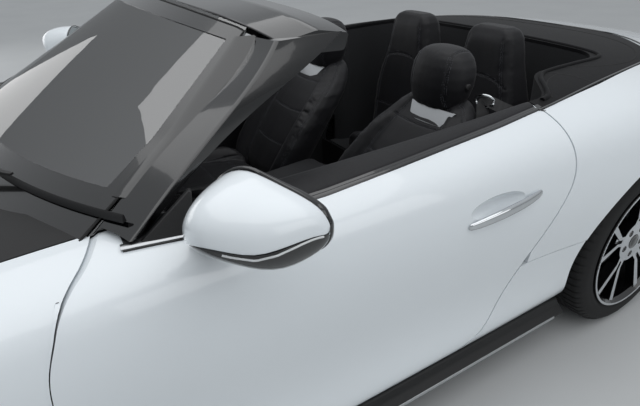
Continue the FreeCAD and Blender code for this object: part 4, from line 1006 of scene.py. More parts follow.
def keep_modifiers(made):
    """Turns what an object's modifiers show into its own mesh."""
    graph = bpy.context.evaluated_depsgraph_get()
    graph.update()
    mesh = bpy.data.meshes.new_from_object(made.evaluated_get(graph))
    made.modifiers.clear()
    made.data = mesh


def fill_with_padding(made, voxel, cap):
    """Swells a cushion by cloth under inner pressure, keeps each point near its place, and refines it."""
    remesh = made.modifiers.new("even_mesh", "REMESH")
    remesh.mode = "VOXEL"
    remesh.voxel_size = voxel
    keep_modifiers(made)
    scene = bpy.context.scene
    rest = [v.co.copy() for v in made.data.vertices]
    cloth = made.modifiers.new("padding", "CLOTH")
    cloth.settings.use_pressure = True
    cloth.settings.uniform_pressure_force = PADDING_PRESSURE
    cloth.settings.effector_weights.gravity = 0
    cloth.settings.quality = 4
    cloth.collision_settings.use_collision = False
    cloth.point_cache.frame_start = 1
    cloth.point_cache.frame_end = PADDING_FRAMES
    for step in range(1, PADDING_FRAMES + 1):
        scene.frame_set(step)
    keep_modifiers(made)
    for vertex, home in zip(made.data.vertices, rest):
        moved = vertex.co - home
        if moved.length > cap:
            vertex.co = home + moved.normalized() * cap
    scene.frame_set(1)
    finer = made.modifiers.new("finer", "SUBSURF")
    finer.levels = finer.render_levels = 1
    keep_modifiers(made)
    made.data.shade_smooth()


def search_tree(made):
    mesh = made.data
    return BVHTree.FromPolygons([v.co for v in mesh.vertices], [p.vertices for p in mesh.polygons])


def lay_on(tree, points):
    """Each point moved to the nearest place on a skin, with its normal."""
    return [tree.find_nearest(p)[:2] for p in points]


def press_seam(made, laid, depth, width):
    """Pulls the skin in along a sewn line."""
    tree = kdtree.KDTree(len(laid))
    for i, point in enumerate(laid):
        tree.insert(point[0], i)
    tree.balance()
    for vertex in made.data.vertices:
        index, distance = tree.find(vertex.co)[1:]
        if distance < width * 2.2:
            vertex.co -= laid[index][1] * depth * math.exp(-(distance / width) ** 2 * 1.6)


def even_points(points, pitch):
    """Points at an even distance along a run."""
    made = [points[0].copy()]
    left = pitch
    for a, b in zip(points, points[1:]):
        length = (b - a).length
        at = left
        while at <= length:
            made.append(a + (b - a) * (at / length))
            at += pitch
        left = at - length
    return made


STITCH_SHAPE = ((-0.5, -0.2, 0.5), (-0.3, 0.75, 1.0), (0.3, 0.75, 1.0), (0.5, -0.2, 0.5))
STITCH_SIDES = (0.5, 1.76, 3.01, 4.27, 5.53)
STITCH_RADIUS = 0.00062
THREAD_OFFSET = 0.0042
SEAM_WIDTH = 0.0055
SEAM_STEP = 0.003


def stitches(laid, length):
    """Small threads in a row beside a seam, each dipping into the hide at its ends."""
    parts = []
    for (a, normal), (b, _) in zip(laid, laid[1:]):
        forward = (b - a).normalized()
        across = forward.cross(normal).normalized()
        rings = []
        for share, lift, size in STITCH_SHAPE:
            centre = a + forward * (share * length) + normal * (lift * STITCH_RADIUS)
            rings.append([centre + (across * math.cos(t) + normal * math.sin(t)) * STITCH_RADIUS * size
                          for t in STITCH_SIDES])
        parts.append(loft(rings))
    return joined(parts)


def sew(made, runs, sizes):
    """Presses seams into a cushion and lays a row of thread on each side of them."""
    for run in runs:
        points = even_points(curve_through(run, 8), SEAM_STEP)
        press_seam(made, lay_on(search_tree(made), points), sizes.seam_depth, SEAM_WIDTH)
    tree = search_tree(made)
    parts = []
    for run in runs:
        laid = lay_on(tree, even_points(curve_through(run, 8), sizes.stitch_pitch))
        for offset in (-THREAD_OFFSET, THREAD_OFFSET):
            beside = [p + (q - p).normalized().cross(n) * offset for (p, n), (q, _) in zip(laid, laid[1:])]
            parts.append(stitches(lay_on(tree, beside), sizes.stitch_pitch * 0.72))
    return joined(parts)


def mirrored_copy(made, name, body):
    mesh = made.data.copy()
    mesh.transform(Matrix.Scale(-1, 4, (1, 0, 0)))
    mesh.flip_normals()
    twin = bpy.data.objects.new(name, mesh)
    bpy.context.scene.collection.objects.link(twin)
    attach(twin, body)
    return twin


def finish_seat(cushions, threads, name):
    """Makes the thread and copies the cushions, with their thread, to the right."""
    thread = piece(f"{name}_thread_left", joined(threads), "thread", "chassis")
    for made in cushions + (thread,):
        twin = mirrored_copy(made, made.name.replace("left", "right"), "chassis")


def seat_line(table, heights, sideways, column):
    """Points in front of a seat's face at some heights and one distance from its middle."""
    return [mm(SEAT_X + sideways(along(table, z)[0]), along(table, z)[column], z) for z in heights]


class CarSeats(bpy.types.Operator):
    """Makes the sewn leather seats, front and rear, with their plates, guides and buckles"""
    bl_idname = "roadster.seats"
    bl_label = "Seats"

    def execute(self, context):
        sizes = context.scene.roadster_sizes
        self.front_seats(sizes)
        self.rear_seats(sizes)
        self.fittings()
        return {"FINISHED"}

    def front_seats(self, sizes):
        back = piece("front_seat_back_left", seat_back(), "leather", "chassis")
        cushion = piece("front_seat_cushion_left", seat_cushion(), "leather", "chassis")
        rest = piece("headrest_left", head_rest(), "leather", "chassis")
        fill_with_padding(back, 0.009, 0.012)
        fill_with_padding(cushion, 0.009, 0.014)
        fill_with_padding(rest, 0.006, 0.008)
        runs = []
        for side in (-1, 1):
            runs.append(seat_line(BACK_STATIONS, range(430, 911, 40),
                                  lambda hw: side * (valley_at(hw) - 2), 1))
            runs.append(seat_line(BACK_STATIONS, range(420, 861, 40), lambda hw: side * (hw - 6), 2))
        for z in (560, 700, 820):
            front = along(BACK_STATIONS, z)[1]
            runs.append([mm(SEAT_X + a, front + 0.0002 * a * a, z + 0.0006 * a * a)
                         for a in (-130, -65, 0, 65, 130)])
        runs.append([mm(SEAT_X + a, y, z) for a, y, z in BACK_TOP_SEAM])
        threads = [sew(back, runs, sizes)]
        runs = []
        for side in (-1, 1):
            for inset, z, places in ((100, 460, range(-225, 281, 50)), (4, 470, range(-215, 271, 50))):
                runs.append([mm(SEAT_X + side * (along(CUSHION_STATIONS, y)[0] - inset), y, z)
                             for y in places])
        for y in (-110, 40, 180):
            runs.append([mm(SEAT_X + a, y, 462) for a in (-138, -70, 0, 70, 138)])
        threads.append(sew(cushion, runs, sizes))
        runs = [[mm(SEAT_X + side * a, y, z) for a, y, z in REST_SEAM] for side in (-1, 1)]
        threads.append(sew(rest, runs, sizes))
        finish_seat((back, cushion, rest), threads, "front_seat")
        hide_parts("front_seats")

    def rear_seats(self, sizes):
        back = piece("rear_seat_back_left", rear_back(), "leather", "chassis")
        cushion = piece("rear_seat_cushion_left", rear_cushion(), "leather", "chassis")
        fill_with_padding(back, 0.009, 0.010)
        fill_with_padding(cushion, 0.009, 0.010)
        runs = []
        for side in (-1, 1):
            runs.append([mm(REAR_SEAT_X + side * along(REAR_BACK_STATIONS, z)[0] * 0.72,
                            along(REAR_BACK_STATIONS, z)[1] - 6, z) for z in range(400, 1090, 60)])
        runs.append([mm(REAR_SEAT_X + a, 1040, 868 + 0.0016 * (160 ** 2 - a * a))
                     for a in (-150, -110, -60, 0, 60, 110, 150)])
        runs.append([mm(REAR_SEAT_X + a, 1040, 640) for a in (-148, -80, 0, 80, 148)])
        threads = [sew(back, runs, sizes)]
        runs = [[mm(REAR_SEAT_X + side * 150, y, 480) for y in range(880, 1021, 35)] for side in (-1, 1)]
        threads.append(sew(cushion, runs, sizes))
        finish_seat((back, cushion), threads, "rear_seat")
        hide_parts("rear_seats")

    def fittings(self):
        for side, sign in LEFT_AND_RIGHT:
            rails = [block((SEAT_X + offset - half, SEAT_X + offset + half), (-196, 296), (low, high))
                     for offset in (-170, 170)
                     for low, high, half in ((187, 210, 22), (210, 236, 15), (236, 345, 10))]
            piece(f"seat_rails_{side}", joined(rails), "satin_black", "chassis", sign, bevel=0.002)
            knob = turned([(-0.004, 0.013), (0.003, 0.0125), (0.005, 0.010), (0.005, 0.0001)],
                          mm(SEAT_X + 128, 690, 972), 24)
            piece(f"headrest_button_{side}", knob, "satin_black", "chassis", sign, sharp=60)
            rings = []
            for lift in (-3, 2.5):
                upper, lower = [[mm(SEAT_X + 26 + half * k / 4, y - lift - 7 * (1 - k * k / 16),
                                    z + 0.6 * lift) for k in range(-4, 5)]
                                for half, y, z in ((112, 634, 890), (80, 596, 840))]
                rings.append(upper + lower[::-1])
            piece(f"seat_plate_{side}", loft(rings), "satin_silver", "chassis", sign, bevel=0.0012)
            guide = [mm(SEAT_X + 168 + 30 * math.cos(t), 736 + 12 * math.cos(t), 926 + 20 * math.sin(t))
                     for t in turns(20)]
            loop = sweep(guide, round_profile(0.0045), None, True)
            piece(f"belt_guide_{side}", loop, "chrome", "chassis", sign)
            belt = curve_through([mm(x, y, z) for x, y, z in BELT_PATH], 8)
            normals = [Vector((0.75, -0.35, 0.56)).normalized()] * len(belt)
            webbing = sweep(belt, flat_profile(0.022, -0.0006, 0.0006), normals)
            piece(f"seat_belt_{side}", webbing, "webbing", "chassis", sign)
            buckle = block((SEAT_X - 273, SEAT_X - 251), (250, 285), (430, 500))
            piece(f"belt_buckle_{side}", buckle, "satin_black", "chassis", sign, bevel=0.004)
        for side, sign in LEFT_AND_RIGHT:
            tongue = block((39, 57), (985, 998), (480, 545))
            piece(f"rear_buckle_{side}", tongue, "satin_silver", "chassis", sign, bevel=0.003)


# Windscreen. Its surface from foot to header: height, half width and y at the side, height and y at
# the middle, millimetres

SCREEN = ((860, 800, -737, 862, -1000), (1070, 668, -385, 1088, -600), (1265, 548, -125, 1312, -215))


def arc_through(a, b, c, share):
    """A point of the circle through three points, share running from a to c."""
    u, w = b - a, c - a
    normal = u.cross(w)
    to_middle = normal.cross(u) * w.length_squared + w.cross(normal) * u.length_squared
    centre = a + to_middle / (2 * normal.length_squared)
    start_arm = a - centre
    angle = start_arm.angle(c - centre)
    if (b - centre).angle(start_arm) > angle:
        angle = 2 * math.pi - angle
    return centre + Matrix.Rotation(angle * share, 3, normal.normalized()) @ start_arm


def on_screen(across, up):
    """A point of the glass's outer face and its normal; across and up run from 0 to 1."""
    def point(u, v):
        low, high = (SCREEN[0], SCREEN[1]) if v < 0.5 else (SCREEN[1], SCREEN[2])
        share = (v * 2) % 1 if v < 1 else 1
        ends = []
        for z, x, y, middle_z, middle_y in (low, high):
            ends.append(arc_through(mm(-x, y, z), mm(0, middle_y, middle_z), mm(x, y, z), u))
        return ends[0].lerp(ends[1], share)
    here = point(across, up)
    side = point(min(across + 0.01, 1), up) - point(max(across - 0.01, 0), up)
    rise = point(across, min(up + 0.01, 0.999)) - point(across, max(up - 0.01, 0))
    normal = side.cross(rise).normalized()
    if normal.z < 0:
        normal = -normal
    return here, normal


FRIT_SIDE = 0.030
FRIT_TOP = 0.075
FRIT_LOW = 0.1
FRIT_HIGH = 0.985


def frit(u0, u1, v0, v1, steps_u, steps_v):
    rows = []
    for j in range(steps_v + 1):
        v = v0 + (v1 - v0) * j / steps_v
        rows.append([(u0 + (u1 - u0) * i / steps_u, v) for i in range(steps_u + 1)])
    return cover(rows, on_screen, 0.0004, 0.0002)


PILLAR_EDGE = ((860, 800, -737), (1000, 713, -500), (1100, 652, -332), (1200, 592, -165), (1244, 563, -119))
GLASS_EDGE = [row[:3] for row in SCREEN]


def pillar_trim():
    """The black strip that joins the glass's edge to the pillar."""
    rings = []
    for z in range(990, 1256, 15):
        pillar_x, pillar_y = along(PILLAR_EDGE, z)
        glass_x, glass_y = along(GLASS_EDGE, z)
        row = [mm(glass_x - 12, glass_y - 10, z + 3), mm(glass_x + 2, glass_y, z + 3.5),
               mm(pillar_x + 3, pillar_y + 2, z + 3), mm(pillar_x + 8, pillar_y + 10, z + 1)]
        rings.append(row + [p - mm(3, 0, 5) for p in reversed(row)])
    return loft(rings)


class CarScreen(bpy.types.Operator):
    """Makes the windscreen's black border, the wipers, the scuttle grille and the inner mirror"""
    bl_idname = "roadster.screen"
    bl_label = "Windscreen Details"

    def execute(self, context):
        parts = [frit(0.004, FRIT_SIDE, FRIT_LOW, FRIT_HIGH, 3, 36),
                 frit(1 - FRIT_SIDE, 0.996, FRIT_LOW, FRIT_HIGH, 3, 36),
                 frit(FRIT_SIDE, 1 - FRIT_SIDE, 1 - FRIT_TOP, FRIT_HIGH, 60, 4),
                 frit(FRIT_SIDE, 1 - FRIT_SIDE, FRIT_LOW, 0.33, 60, 8)]
        piece("screen_border", joined(parts), "frit", "chassis")
        self.wipers()
        self.inner_mirror()
        seal = [on_screen(0.0015, 0.18 + 0.80 * k / 40)[0] for k in range(41)]
        seal += [on_screen(0.0015 + 0.997 * k / 40, FRIT_HIGH)[0] for k in range(1, 40)]
        seal += [on_screen(0.9985, 0.98 - 0.80 * k / 40)[0] for k in range(41)]
        piece("screen_seal", sweep(seal, round_profile(0.0028, 6)), "seal", "chassis")
        for side, sign in LEFT_AND_RIGHT:
            piece(f"pillar_trim_{side}", pillar_trim(), "gloss_black", "chassis", sign, sharp=60)
        vents = []
        for k in range(44):
            x = -0.645 + 1.29 * k / 43
            line = [on_top(x, y)[0] + UP * 0.002 for y in (-0.90, -0.87)]
            vents.append(sweep(line, flat_profile(0.0035, -0.002, 0.0015)))
        piece("scuttle_ribs", joined(vents), "satin_black", "chassis")
        return {"FINISHED"}

    def wipers(self):
        arm_profile = [(-0.008, -0.004), (-0.007, 0.004), (0.007, 0.004), (0.008, -0.004)]
        blade_profile = [(-0.006, -0.011), (-0.002, 0.004), (0.0, 0.007), (0.003, 0.004), (0.005, -0.011)]
        cap_profile = [(-0.016, 0.015), (0.008, 0.015), (0.012, 0.011), (0.012, 0.0002)]
        upright = Matrix.Rotation(-math.pi / 2, 3, "Y")
        for name, pivot, reach in (("left", (0.20, -0.915), 0.56), ("right", (-0.46, -0.915), 0.60)):
            blade = []
            for k in range(21):
                share = k / 20
                x = pivot[0] + 0.02 + reach * share
                u_guess = 0.5 + x / 1.6
                tried = [on_screen(u_guess + d * 0.004, 0.275 - 0.02 * share)[0] for d in range(-30, 31)]
                blade.append(min(tried, key=lambda p: abs(p.x - x)) + Vector((0, -0.006, 0.012)))
            root = on_top(*pivot)[0] + UP * 0.012
            middle = blade[10] + Vector((0, -0.006, 0.018))
            arm = curve_through([root, root.lerp(middle, 0.3) + UP * 0.014,
                                 root.lerp(middle, 0.75) + UP * 0.010, middle], 8)
            widths = [1.5 - 0.8 * i / (len(arm) - 1) for i in range(len(arm))]
            lever = sweep(arm, arm_profile, None, False, widths)
            piece(f"wiper_arm_{name}", lever, "satin_black", "chassis", bevel=0.001)
            made = piece(f"wiper_blade_{name}", sweep(blade, blade_profile), "satin_black", "chassis")
            verts, faces = turned(cap_profile, Vector(), 24)
            cap = [upright @ v + root for v in verts], faces
            piece(f"wiper_cap_{name}", cap, "satin_black", "chassis")
        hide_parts("wipers")

    def inner_mirror(self):
        rings = []
        for y, grow in ((-0.172, 0.8), (-0.160, 1.0), (-0.138, 1.0), (-0.132, 0.94)):
            rings.append([Vector((0.115 * grow * squared(math.cos(t), 0.5), y,
                                  1.222 + 0.034 * grow * squared(math.sin(t), 0.6))) for t in turns(32)])
        piece("inner_mirror_shell", loft(rings), "satin_black", "chassis", sharp=60)
        face = [[Vector((p.x * 0.93, y, 1.222 + (p.z - 1.222) * 0.9)) for p in rings[2]]
                for y in (-0.134, -0.1305)]
        piece("inner_mirror_glass", loft(face), "silvered", "chassis", sharp=30)
        stem = curve_through([(0, -0.155, 1.225), (0, -0.205, 1.255), (0, -0.236, 1.285)], 6)
        piece("inner_mirror_stem", sweep(stem, round_profile(0.011, 10)), "satin_black", "chassis")
        outline = ((-0.045, -0.05), (0.045, -0.05), (0.05, 0.02), (0.02, 0.05), (-0.02, 0.05), (-0.05, 0.02))
        pod = [[Vector((a * grow, -0.252 + b * grow + lift * 0.6, 1.268 + lift + b * 0.8))
                for a, b in outline] for lift, grow in ((-0.018, 0.7), (-0.004, 1.0))]
        piece("rain_sensor_pod", loft(pod), "satin_black", "chassis", bevel=0.004)


# The deck over the stowed top

def deck_line(points, radius, lift=0.0):
    path = [on_top(p.x, p.y)[0] + UP * lift for p in curve_through(points, 6)]
    return sweep(path, round_profile(radius, 6, 0.7))


TOP_EDGE = (
    (796, 712), (788, 800), (772, 930), (752, 1080), (729, 1250), (702, 1420), (676, 1530), (626, 1625),
    (560, 1702), (480, 1768), (400, 1816), (320, 1846), (200, 1853), (0, 1853),
)
TOP_SEAMS = (
    ((602, 962), (640, 1010), (690, 1040), (742, 1052)),
    ((602, 1090), (640, 1160), (672, 1280), (668, 1420), (600, 1560), (480, 1660), (300, 1720), (0, 1735)),
    ((640, 1010), (660, 930), (706, 860), (760, 820)),
)
CABIN_RIM = (
    (756, 774), (742, 820), (692, 868), (650, 904), (614, 954), (604, 1020), (602, 1150), (598, 1290),
    (570, 1346), (480, 1362), (300, 1364), (0, 1364),
)
# The left door's hinge axis, and the room that the lip leaves round the door's swing
SWING_AXIS = Vector((0.876, -0.674, 0.0))
SWING_ROOM = 0.0012


def fender_lip():
    """A strip under the fender's rear edge, which narrows the shut line and follows the door's swing."""
    fender, door = tree_of(["fenders"]), tree_of(["door_left"])
    outer, inner = 0.0007, 0.0035
    rings = []
    for height in range(272, 897, 12):
        z = height * MM
        near = edge_on(fender, z, -0.62, -0.0005)
        front = edge_on(fender, z, near.y - 0.022, -0.0005)
        reach = (edge_on(door, z, -0.79, 0.0005) - SWING_AXIS).to_2d().length + SWING_ROOM
        corners = ((near, inner), (front, inner), (front, outer), (near, outer))
        ring = [Vector((point.x - depth, point.y - 0.0008, z)) for point, depth in corners]
        for x in (near.x - outer, near.x - inner):
            ahead = math.sqrt(reach ** 2 - (x - SWING_AXIS.x) ** 2)
            ring.append(Vector((x, max(SWING_AXIS.y - ahead, near.y + 0.0004), z)))
        rings.append(ring)
    return loft(rings)


def cabin_rim():
    whole = CABIN_RIM + tuple((-x, y) for x, y in reversed(CABIN_RIM[:-1]))
    path = []
    for p in curve_through([mm(x, y, 0) for x, y in whole], 8):
        laid = on_top(abs(p.x), p.y)[0] + UP * 0.002
        path.append(Vector((math.copysign(laid.x, p.x), laid.y, laid.z)))
    return sweep(path, round_profile(0.008, 10, 0.8))


class CarDeck(bpy.types.Operator):
    """Makes the seams and edge seal of the cover over the stowed top, the fender lips and the cabin's rim"""
    bl_idname = "roadster.deck"
    bl_label = "Deck Seams and Seals"

    def execute(self, context):
        seams, edges = [], []
        for sign in (1, -1):
            edge = [mm(sign * (x - 3), y, 0) for x, y in TOP_EDGE]
            edges.append(deck_line(edge, 0.0042, 0.0012))
            for line in TOP_SEAMS:
                seams.append(deck_line([mm(sign * x, y, 0) for x, y in line], 0.0022, -0.0004))
        lip = fender_lip()
        for side, sign in LEFT_AND_RIGHT:
            piece(f"fender_lip_{side}", lip, "white_paint", "chassis", sign)
        corner = [[(0.768 + 0.033 * k / 4, y) for k in range(5)] for y in (0.7195, 0.728, 0.736)]
        for side, sign in LEFT_AND_RIGHT:
            piece(f"deck_corner_{side}", cover(corner, on_top, 0.0014), "gloss_black", "chassis", sign)
        piece("deck_seams", joined(seams), "seal", "chassis")
        piece("deck_edge_seal", joined(edges), "gloss_black", "chassis")
        piece("cabin_rim_seal", cabin_rim(), "hood_skin", "chassis")
        return {"FINISHED"}


# Cabin

WHEEL_CENTRE = mm(-380, -40, 885)
COLUMN_TILT = math.radians(24)
STEERING_R = 0.182
WHEEL_ALONG = Vector((0, math.cos(COLUMN_TILT), math.sin(COLUMN_TILT)))
WHEEL_UP = Vector((0, -math.sin(COLUMN_TILT), math.cos(COLUMN_TILT)))


def on_wheel(across, up, out):
    return WHEEL_CENTRE + Vector((across, 0, 0)) + WHEEL_UP * up + WHEEL_ALONG * out


def spoke_shape(turn, root, tip, thick, lift, half_root, half_tip):
    """A tapered bar on the steering wheel's plane."""
    rings = []
    waist = (root + tip) / 2, (half_root + half_tip) / 2.2
    for radius, half in ((root, half_root), waist, (tip, half_tip)):
        ring = []
        for side, height in ((-1, -thick), (1, -thick), (1, thick), (-1, thick)):
            a = math.cos(turn) * radius - math.sin(turn) * half * side
            b = math.sin(turn) * radius + math.cos(turn) * half * side
            ring.append(on_wheel(a, b, height + lift))
        rings.append(ring)
    return loft(rings)


DASH = tree_of(["dashboard"])
CONSOLE = tree_of(["console"])


def on_dash(x, z):
    hit, normal = DASH.ray_cast(Vector((x, 0.3, z)), -BACK)[:2]
    return hit, normal if normal.y > 0 else -normal


def on_console(x, y):
    hit, normal = CONSOLE.ray_cast(Vector((x, y, 1.2)), -UP)[:2]
    return hit, normal if normal.z > 0 else -normal


def disc_on(place, a, b, profile, steps=36):
    """A ring or disc turned about the surface's normal from (out, radius) points."""
    hit, normal = place(a, b)
    return turned_about(profile, hit, normal, steps)


def slab(outline, place, low, high):
    """A slab over an outline of surface points, from one height over the surface to another."""
    hits = [place(a, b) for a, b in outline]
    return loft([[hit + normal * height for hit, normal in hits] for height in (low, high)])


def rounded_box(a0, a1, b0, b1, radius, steps=5):
    outline = []
    centres = ((a1 - radius, b1 - radius), (a0 + radius, b1 - radius),
               (a0 + radius, b0 + radius), (a1 - radius, b0 + radius))
    for corner, (a, b) in enumerate(centres):
        for k in range(steps + 1):
            t = math.pi / 2 * (corner + k / steps)
            outline.append((a + radius * math.cos(t), b + radius * math.sin(t)))
    return outline


class CarCabin(bpy.types.Operator):
    """Makes the steering wheel, vents, screen, selector, pedals and mats"""
    bl_idname = "roadster.cabin"
    bl_label = "Cabin Details"

    def execute(self, context):
        self.steering_wheel()
        rings, blades = [], []
        for x in (-0.64, -0.09, 0.09, 0.64):
            ring = [(0.0, 0.041), (0.005, 0.041), (0.008, 0.037), (0.006, 0.033), (0.0, 0.033)]
            rings.append(disc_on(on_dash, x, 0.80, ring))
            blades.append(disc_on(on_dash, x, 0.80, [(0.0005, 0.0325), (0.0015, 0.0325), (0.0015, 0.0002)]))
            for k in (-1, 0, 1):
                hit, normal = on_dash(x, 0.80)
                middle = hit + normal * 0.0035 + UP * (0.014 * k)
                half = ACROSS * (0.025 if k else 0.029)
                blades.append(sweep([middle - half, middle + half], round_profile(0.0022, 6)))
        piece("vent_rings", joined(rings), "chrome", "chassis")
        piece("vent_blades", joined(blades), "satin_black", "chassis")
        piece("dash_screen", slab(rounded_box(-0.13, 0.13, 0.855, 0.925, 0.012), on_dash, -0.002, 0.014),
              "gloss_black", "chassis", bevel=0.002)
        piece("cluster_screen", slab(rounded_box(-0.52, -0.24, 0.875, 0.925, 0.014), on_dash, -0.002, 0.004),
              "gloss_black", "chassis", bevel=0.0015)
        seam = [on_dash(-0.70 + 1.40 * k / 60, 0.745)[0] + BACK * 0.001 for k in range(61)]
        piece("dash_strip", sweep(seam, round_profile(0.0045, 8)), "satin_silver", "chassis")
        self.console()
        self.floor()
        return {"FINISHED"}

    def steering_wheel(self):
        circle = [on_wheel(STEERING_R * math.cos(t), STEERING_R * math.sin(t), 0) for t in turns(96)]
        out = [(p - WHEEL_CENTRE).normalized() for p in circle]
        rim = piece("steering_rim", sweep(circle, round_profile(0.0152, 20, 0.95), out, True), "leather",
                    "steering_wheel")
        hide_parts("steering_wheel")
        bars, inlays = [], []
        for turn, half in ((0, 0.020), (math.pi, 0.020), (-math.pi / 2, 0.018)):
            bars.append(spoke_shape(turn, 0.040, 0.176, 0.006, 0.0, half * 1.3, half))
            inlays.append(spoke_shape(turn, 0.066, 0.160, 0.001, 0.0068, half * 0.55, half * 0.5))
        piece("steering_spokes", joined(bars), "satin_black", "steering_wheel", bevel=0.003)
        piece("steering_inlays", joined(inlays), "satin_silver", "steering_wheel", bevel=0.0005)
        boss = [(-0.020, 0.060), (0.012, 0.061), (0.021, 0.056), (0.026, 0.040), (0.028, 0.020),
                (0.0285, 0.0002), (-0.020, 0.0002)]
        piece("steering_boss", turned_about(boss, WHEEL_CENTRE, WHEEL_ALONG, 48), "leather", "steering_wheel",
              sharp=70)

    def console(self):
        panel = slab(rounded_box(-0.085, 0.085, -0.40, 0.06, 0.02), on_console, -0.002, 0.003)
        piece("console_panel", panel, "gloss_black", "chassis", bevel=0.001)
        lid = slab(rounded_box(-0.095, 0.095, 0.12, 0.42, 0.03), on_console, -0.002, 0.016)
        piece("console_armrest", lid, "leather", "chassis", bevel=0.006)
        cup = [(0.003, 0.040), (0.0062, 0.039), (0.0062, 0.035), (0.003, 0.034)]
        cups = [disc_on(on_console, 0.035, y, cup) for y in (-0.05, -0.14)]
        piece("cup_rings", joined(cups), "chrome", "chassis")
        foot = on_console(-0.03, -0.30)[0]
        rings = []
        for height, a, b in ((0.0, 0.020, 0.026), (0.012, 0.013, 0.018), (0.045, 0.013, 0.018),
                             (0.060, 0.020, 0.030), (0.078, 0.018, 0.028), (0.084, 0.010, 0.018)):
            rings.append([foot + Vector((a * math.cos(t), b * math.sin(t) - height * 0.1, height))
                          for t in turns(20)])
        piece("gear_selector", loft(rings), "leather", "chassis", levels=1)

    def floor(self):
        outline = rounded_box(0.16, 0.66, -0.72, -0.24, 0.05)
        for side, sign in LEFT_AND_RIGHT:
            mat = [[Vector((a, b, z)) for a, b in outline] for z in (0.1865, 0.194)]
            piece(f"floor_mat_{side}", loft(mat), "hood_skin", "chassis", sign, bevel=0.002)
        kick = block((-742, 742), (846, 858.5), (186.5, 366))
        piece("rear_kick_carpet", kick, "hood_skin", "chassis", bevel=0.002)
        pads = []
        for x, width, height in ((-0.30, 0.026, 0.10), (-0.44, 0.042, 0.05)):
            middle = Vector((x, -0.60, 0.33))
            outline = rounded_box(-width, width, -height / 2, height / 2, 0.008, 3)
            pads.append(loft([[middle + Vector((a, b * 0.45 + out, b)) for a, b in outline]
                              for out in (0.0, 0.010)]))
            arm = curve_through([middle + BACK * 0.004, (x, -0.68, 0.46), (x, -0.765, 0.56)], 6)
            pads.append(sweep(arm, round_profile(0.006, 8)))
        piece("pedals", joined(pads), "satin_silver", "chassis", bevel=0.001)


# Nose and tail

HEADLAMP_LINE = ((480, 628), (600, 636), (720, 662), (820, 698), (846, 716))
TAIL_LAMP_LINE = ((352, 768), (500, 770), (700, 778), (820, 786), (884, 794))
GRILLE_MIDDLE_Z = 493
GRILLE_EDGE = ((-410, 388), (410, 388), (450, 520), (380, 598), (-380, 598), (-450, 520))


def laid_line(points, place, radius, lift, squash=0.6):
    path, normals = [], []
    for p in curve_through([(a * MM, b * MM, 0) for a, b in points], 8):
        hit, normal = place(p.x, p.y)
        path.append(hit + normal * lift)
        normals.append(normal)
    return sweep(path, round_profile(radius, 10, squash), normals)


def rounded_corners(corners, radius, steps=8):
    """An outline whose corners are rounded and whose sides are walked in short steps."""
    made = []
    count = len(corners)
    for i in range(count):
        before, corner, after = (Vector(corners[(i + k) % count]) for k in (-1, 0, 1))
        first = corner + (before - corner).normalized() * radius
        last = corner + (after - corner).normalized() * radius
        for k in range(steps + 1):
            t = k / steps
            made.append(first * (1 - t) ** 2 + corner * (2 * t * (1 - t)) + last * t ** 2)
        ahead = after + (corner - after).normalized() * radius
        made += [last.lerp(ahead, k / 12) for k in range(1, 12)]
    return made


def blank_plate(y_place, z):
    """A bare plate with a rolled edge on a black carrier."""
    parts = []
    for half_x, half_z, near, far in ((0.262, 0.058, -0.004, 0.006), (0.258, 0.054, 0.006, 0.0085)):
        outline = rounded_box(-half_x, half_x, z - half_z, z + half_z, 0.012)
        parts.append(loft([[Vector((a, y_place + out, b)) for a, b in outline] for out in (near, far)]))
    return parts


class CarNose(bpy.types.Operator):
    """Makes the headlamps' insides, the grille surround and the lower intake's slats"""
    bl_idname = "roadster.nose"
    bl_label = "Nose Details"

    def execute(self, context):
        for side, sign in LEFT_AND_RIGHT:
            line = laid_line(HEADLAMP_LINE, on_nose, 0.0042, 0.0012)
            piece(f"lamp_line_{side}", line, "lens", "chassis", sign)
            units = []
            for x, z, radius in ((0.62, 0.668, 0.017), (0.70, 0.682, 0.017), (0.775, 0.704, 0.014)):
                unit = [(0.0, radius), (0.0025, radius), (0.003, radius - 0.003), (0.0012, radius - 0.004),
                        (0.0022, 0.004), (0.0024, 0.0002)]
                units.append(disc_on(on_nose, x, z, unit))
            piece(f"lamp_units_{side}", joined(units), "silvered", "chassis", sign)
        path, normals = [], []
        for x, z in rounded_corners(GRILLE_EDGE, 68):
            hit, normal = on_nose(x * 1.035 * MM, (GRILLE_MIDDLE_Z + (z - GRILLE_MIDDLE_Z) * 1.07) * MM)
            path.append(hit + normal * 0.002)
            normals.append(normal)
        surround = sweep(path, round_profile(0.0075, 10, 0.7), normals, True)
        piece("grille_surround", surround, "chrome", "chassis")
        slats = []
        for z in (0.302, 0.321, 0.340):
            path = [on_nose(0.36 * (k / 12 - 1), 0.42)[0] for k in range(25)]
            path = [Vector((p.x, p.y + 0.030, z)) for p in path]
            slats.append(sweep(path, flat_profile(0.003, -0.010, 0.010), [-BACK] * len(path)))
        piece("intake_slats", joined(slats), "satin_black", "chassis")
        return {"FINISHED"}


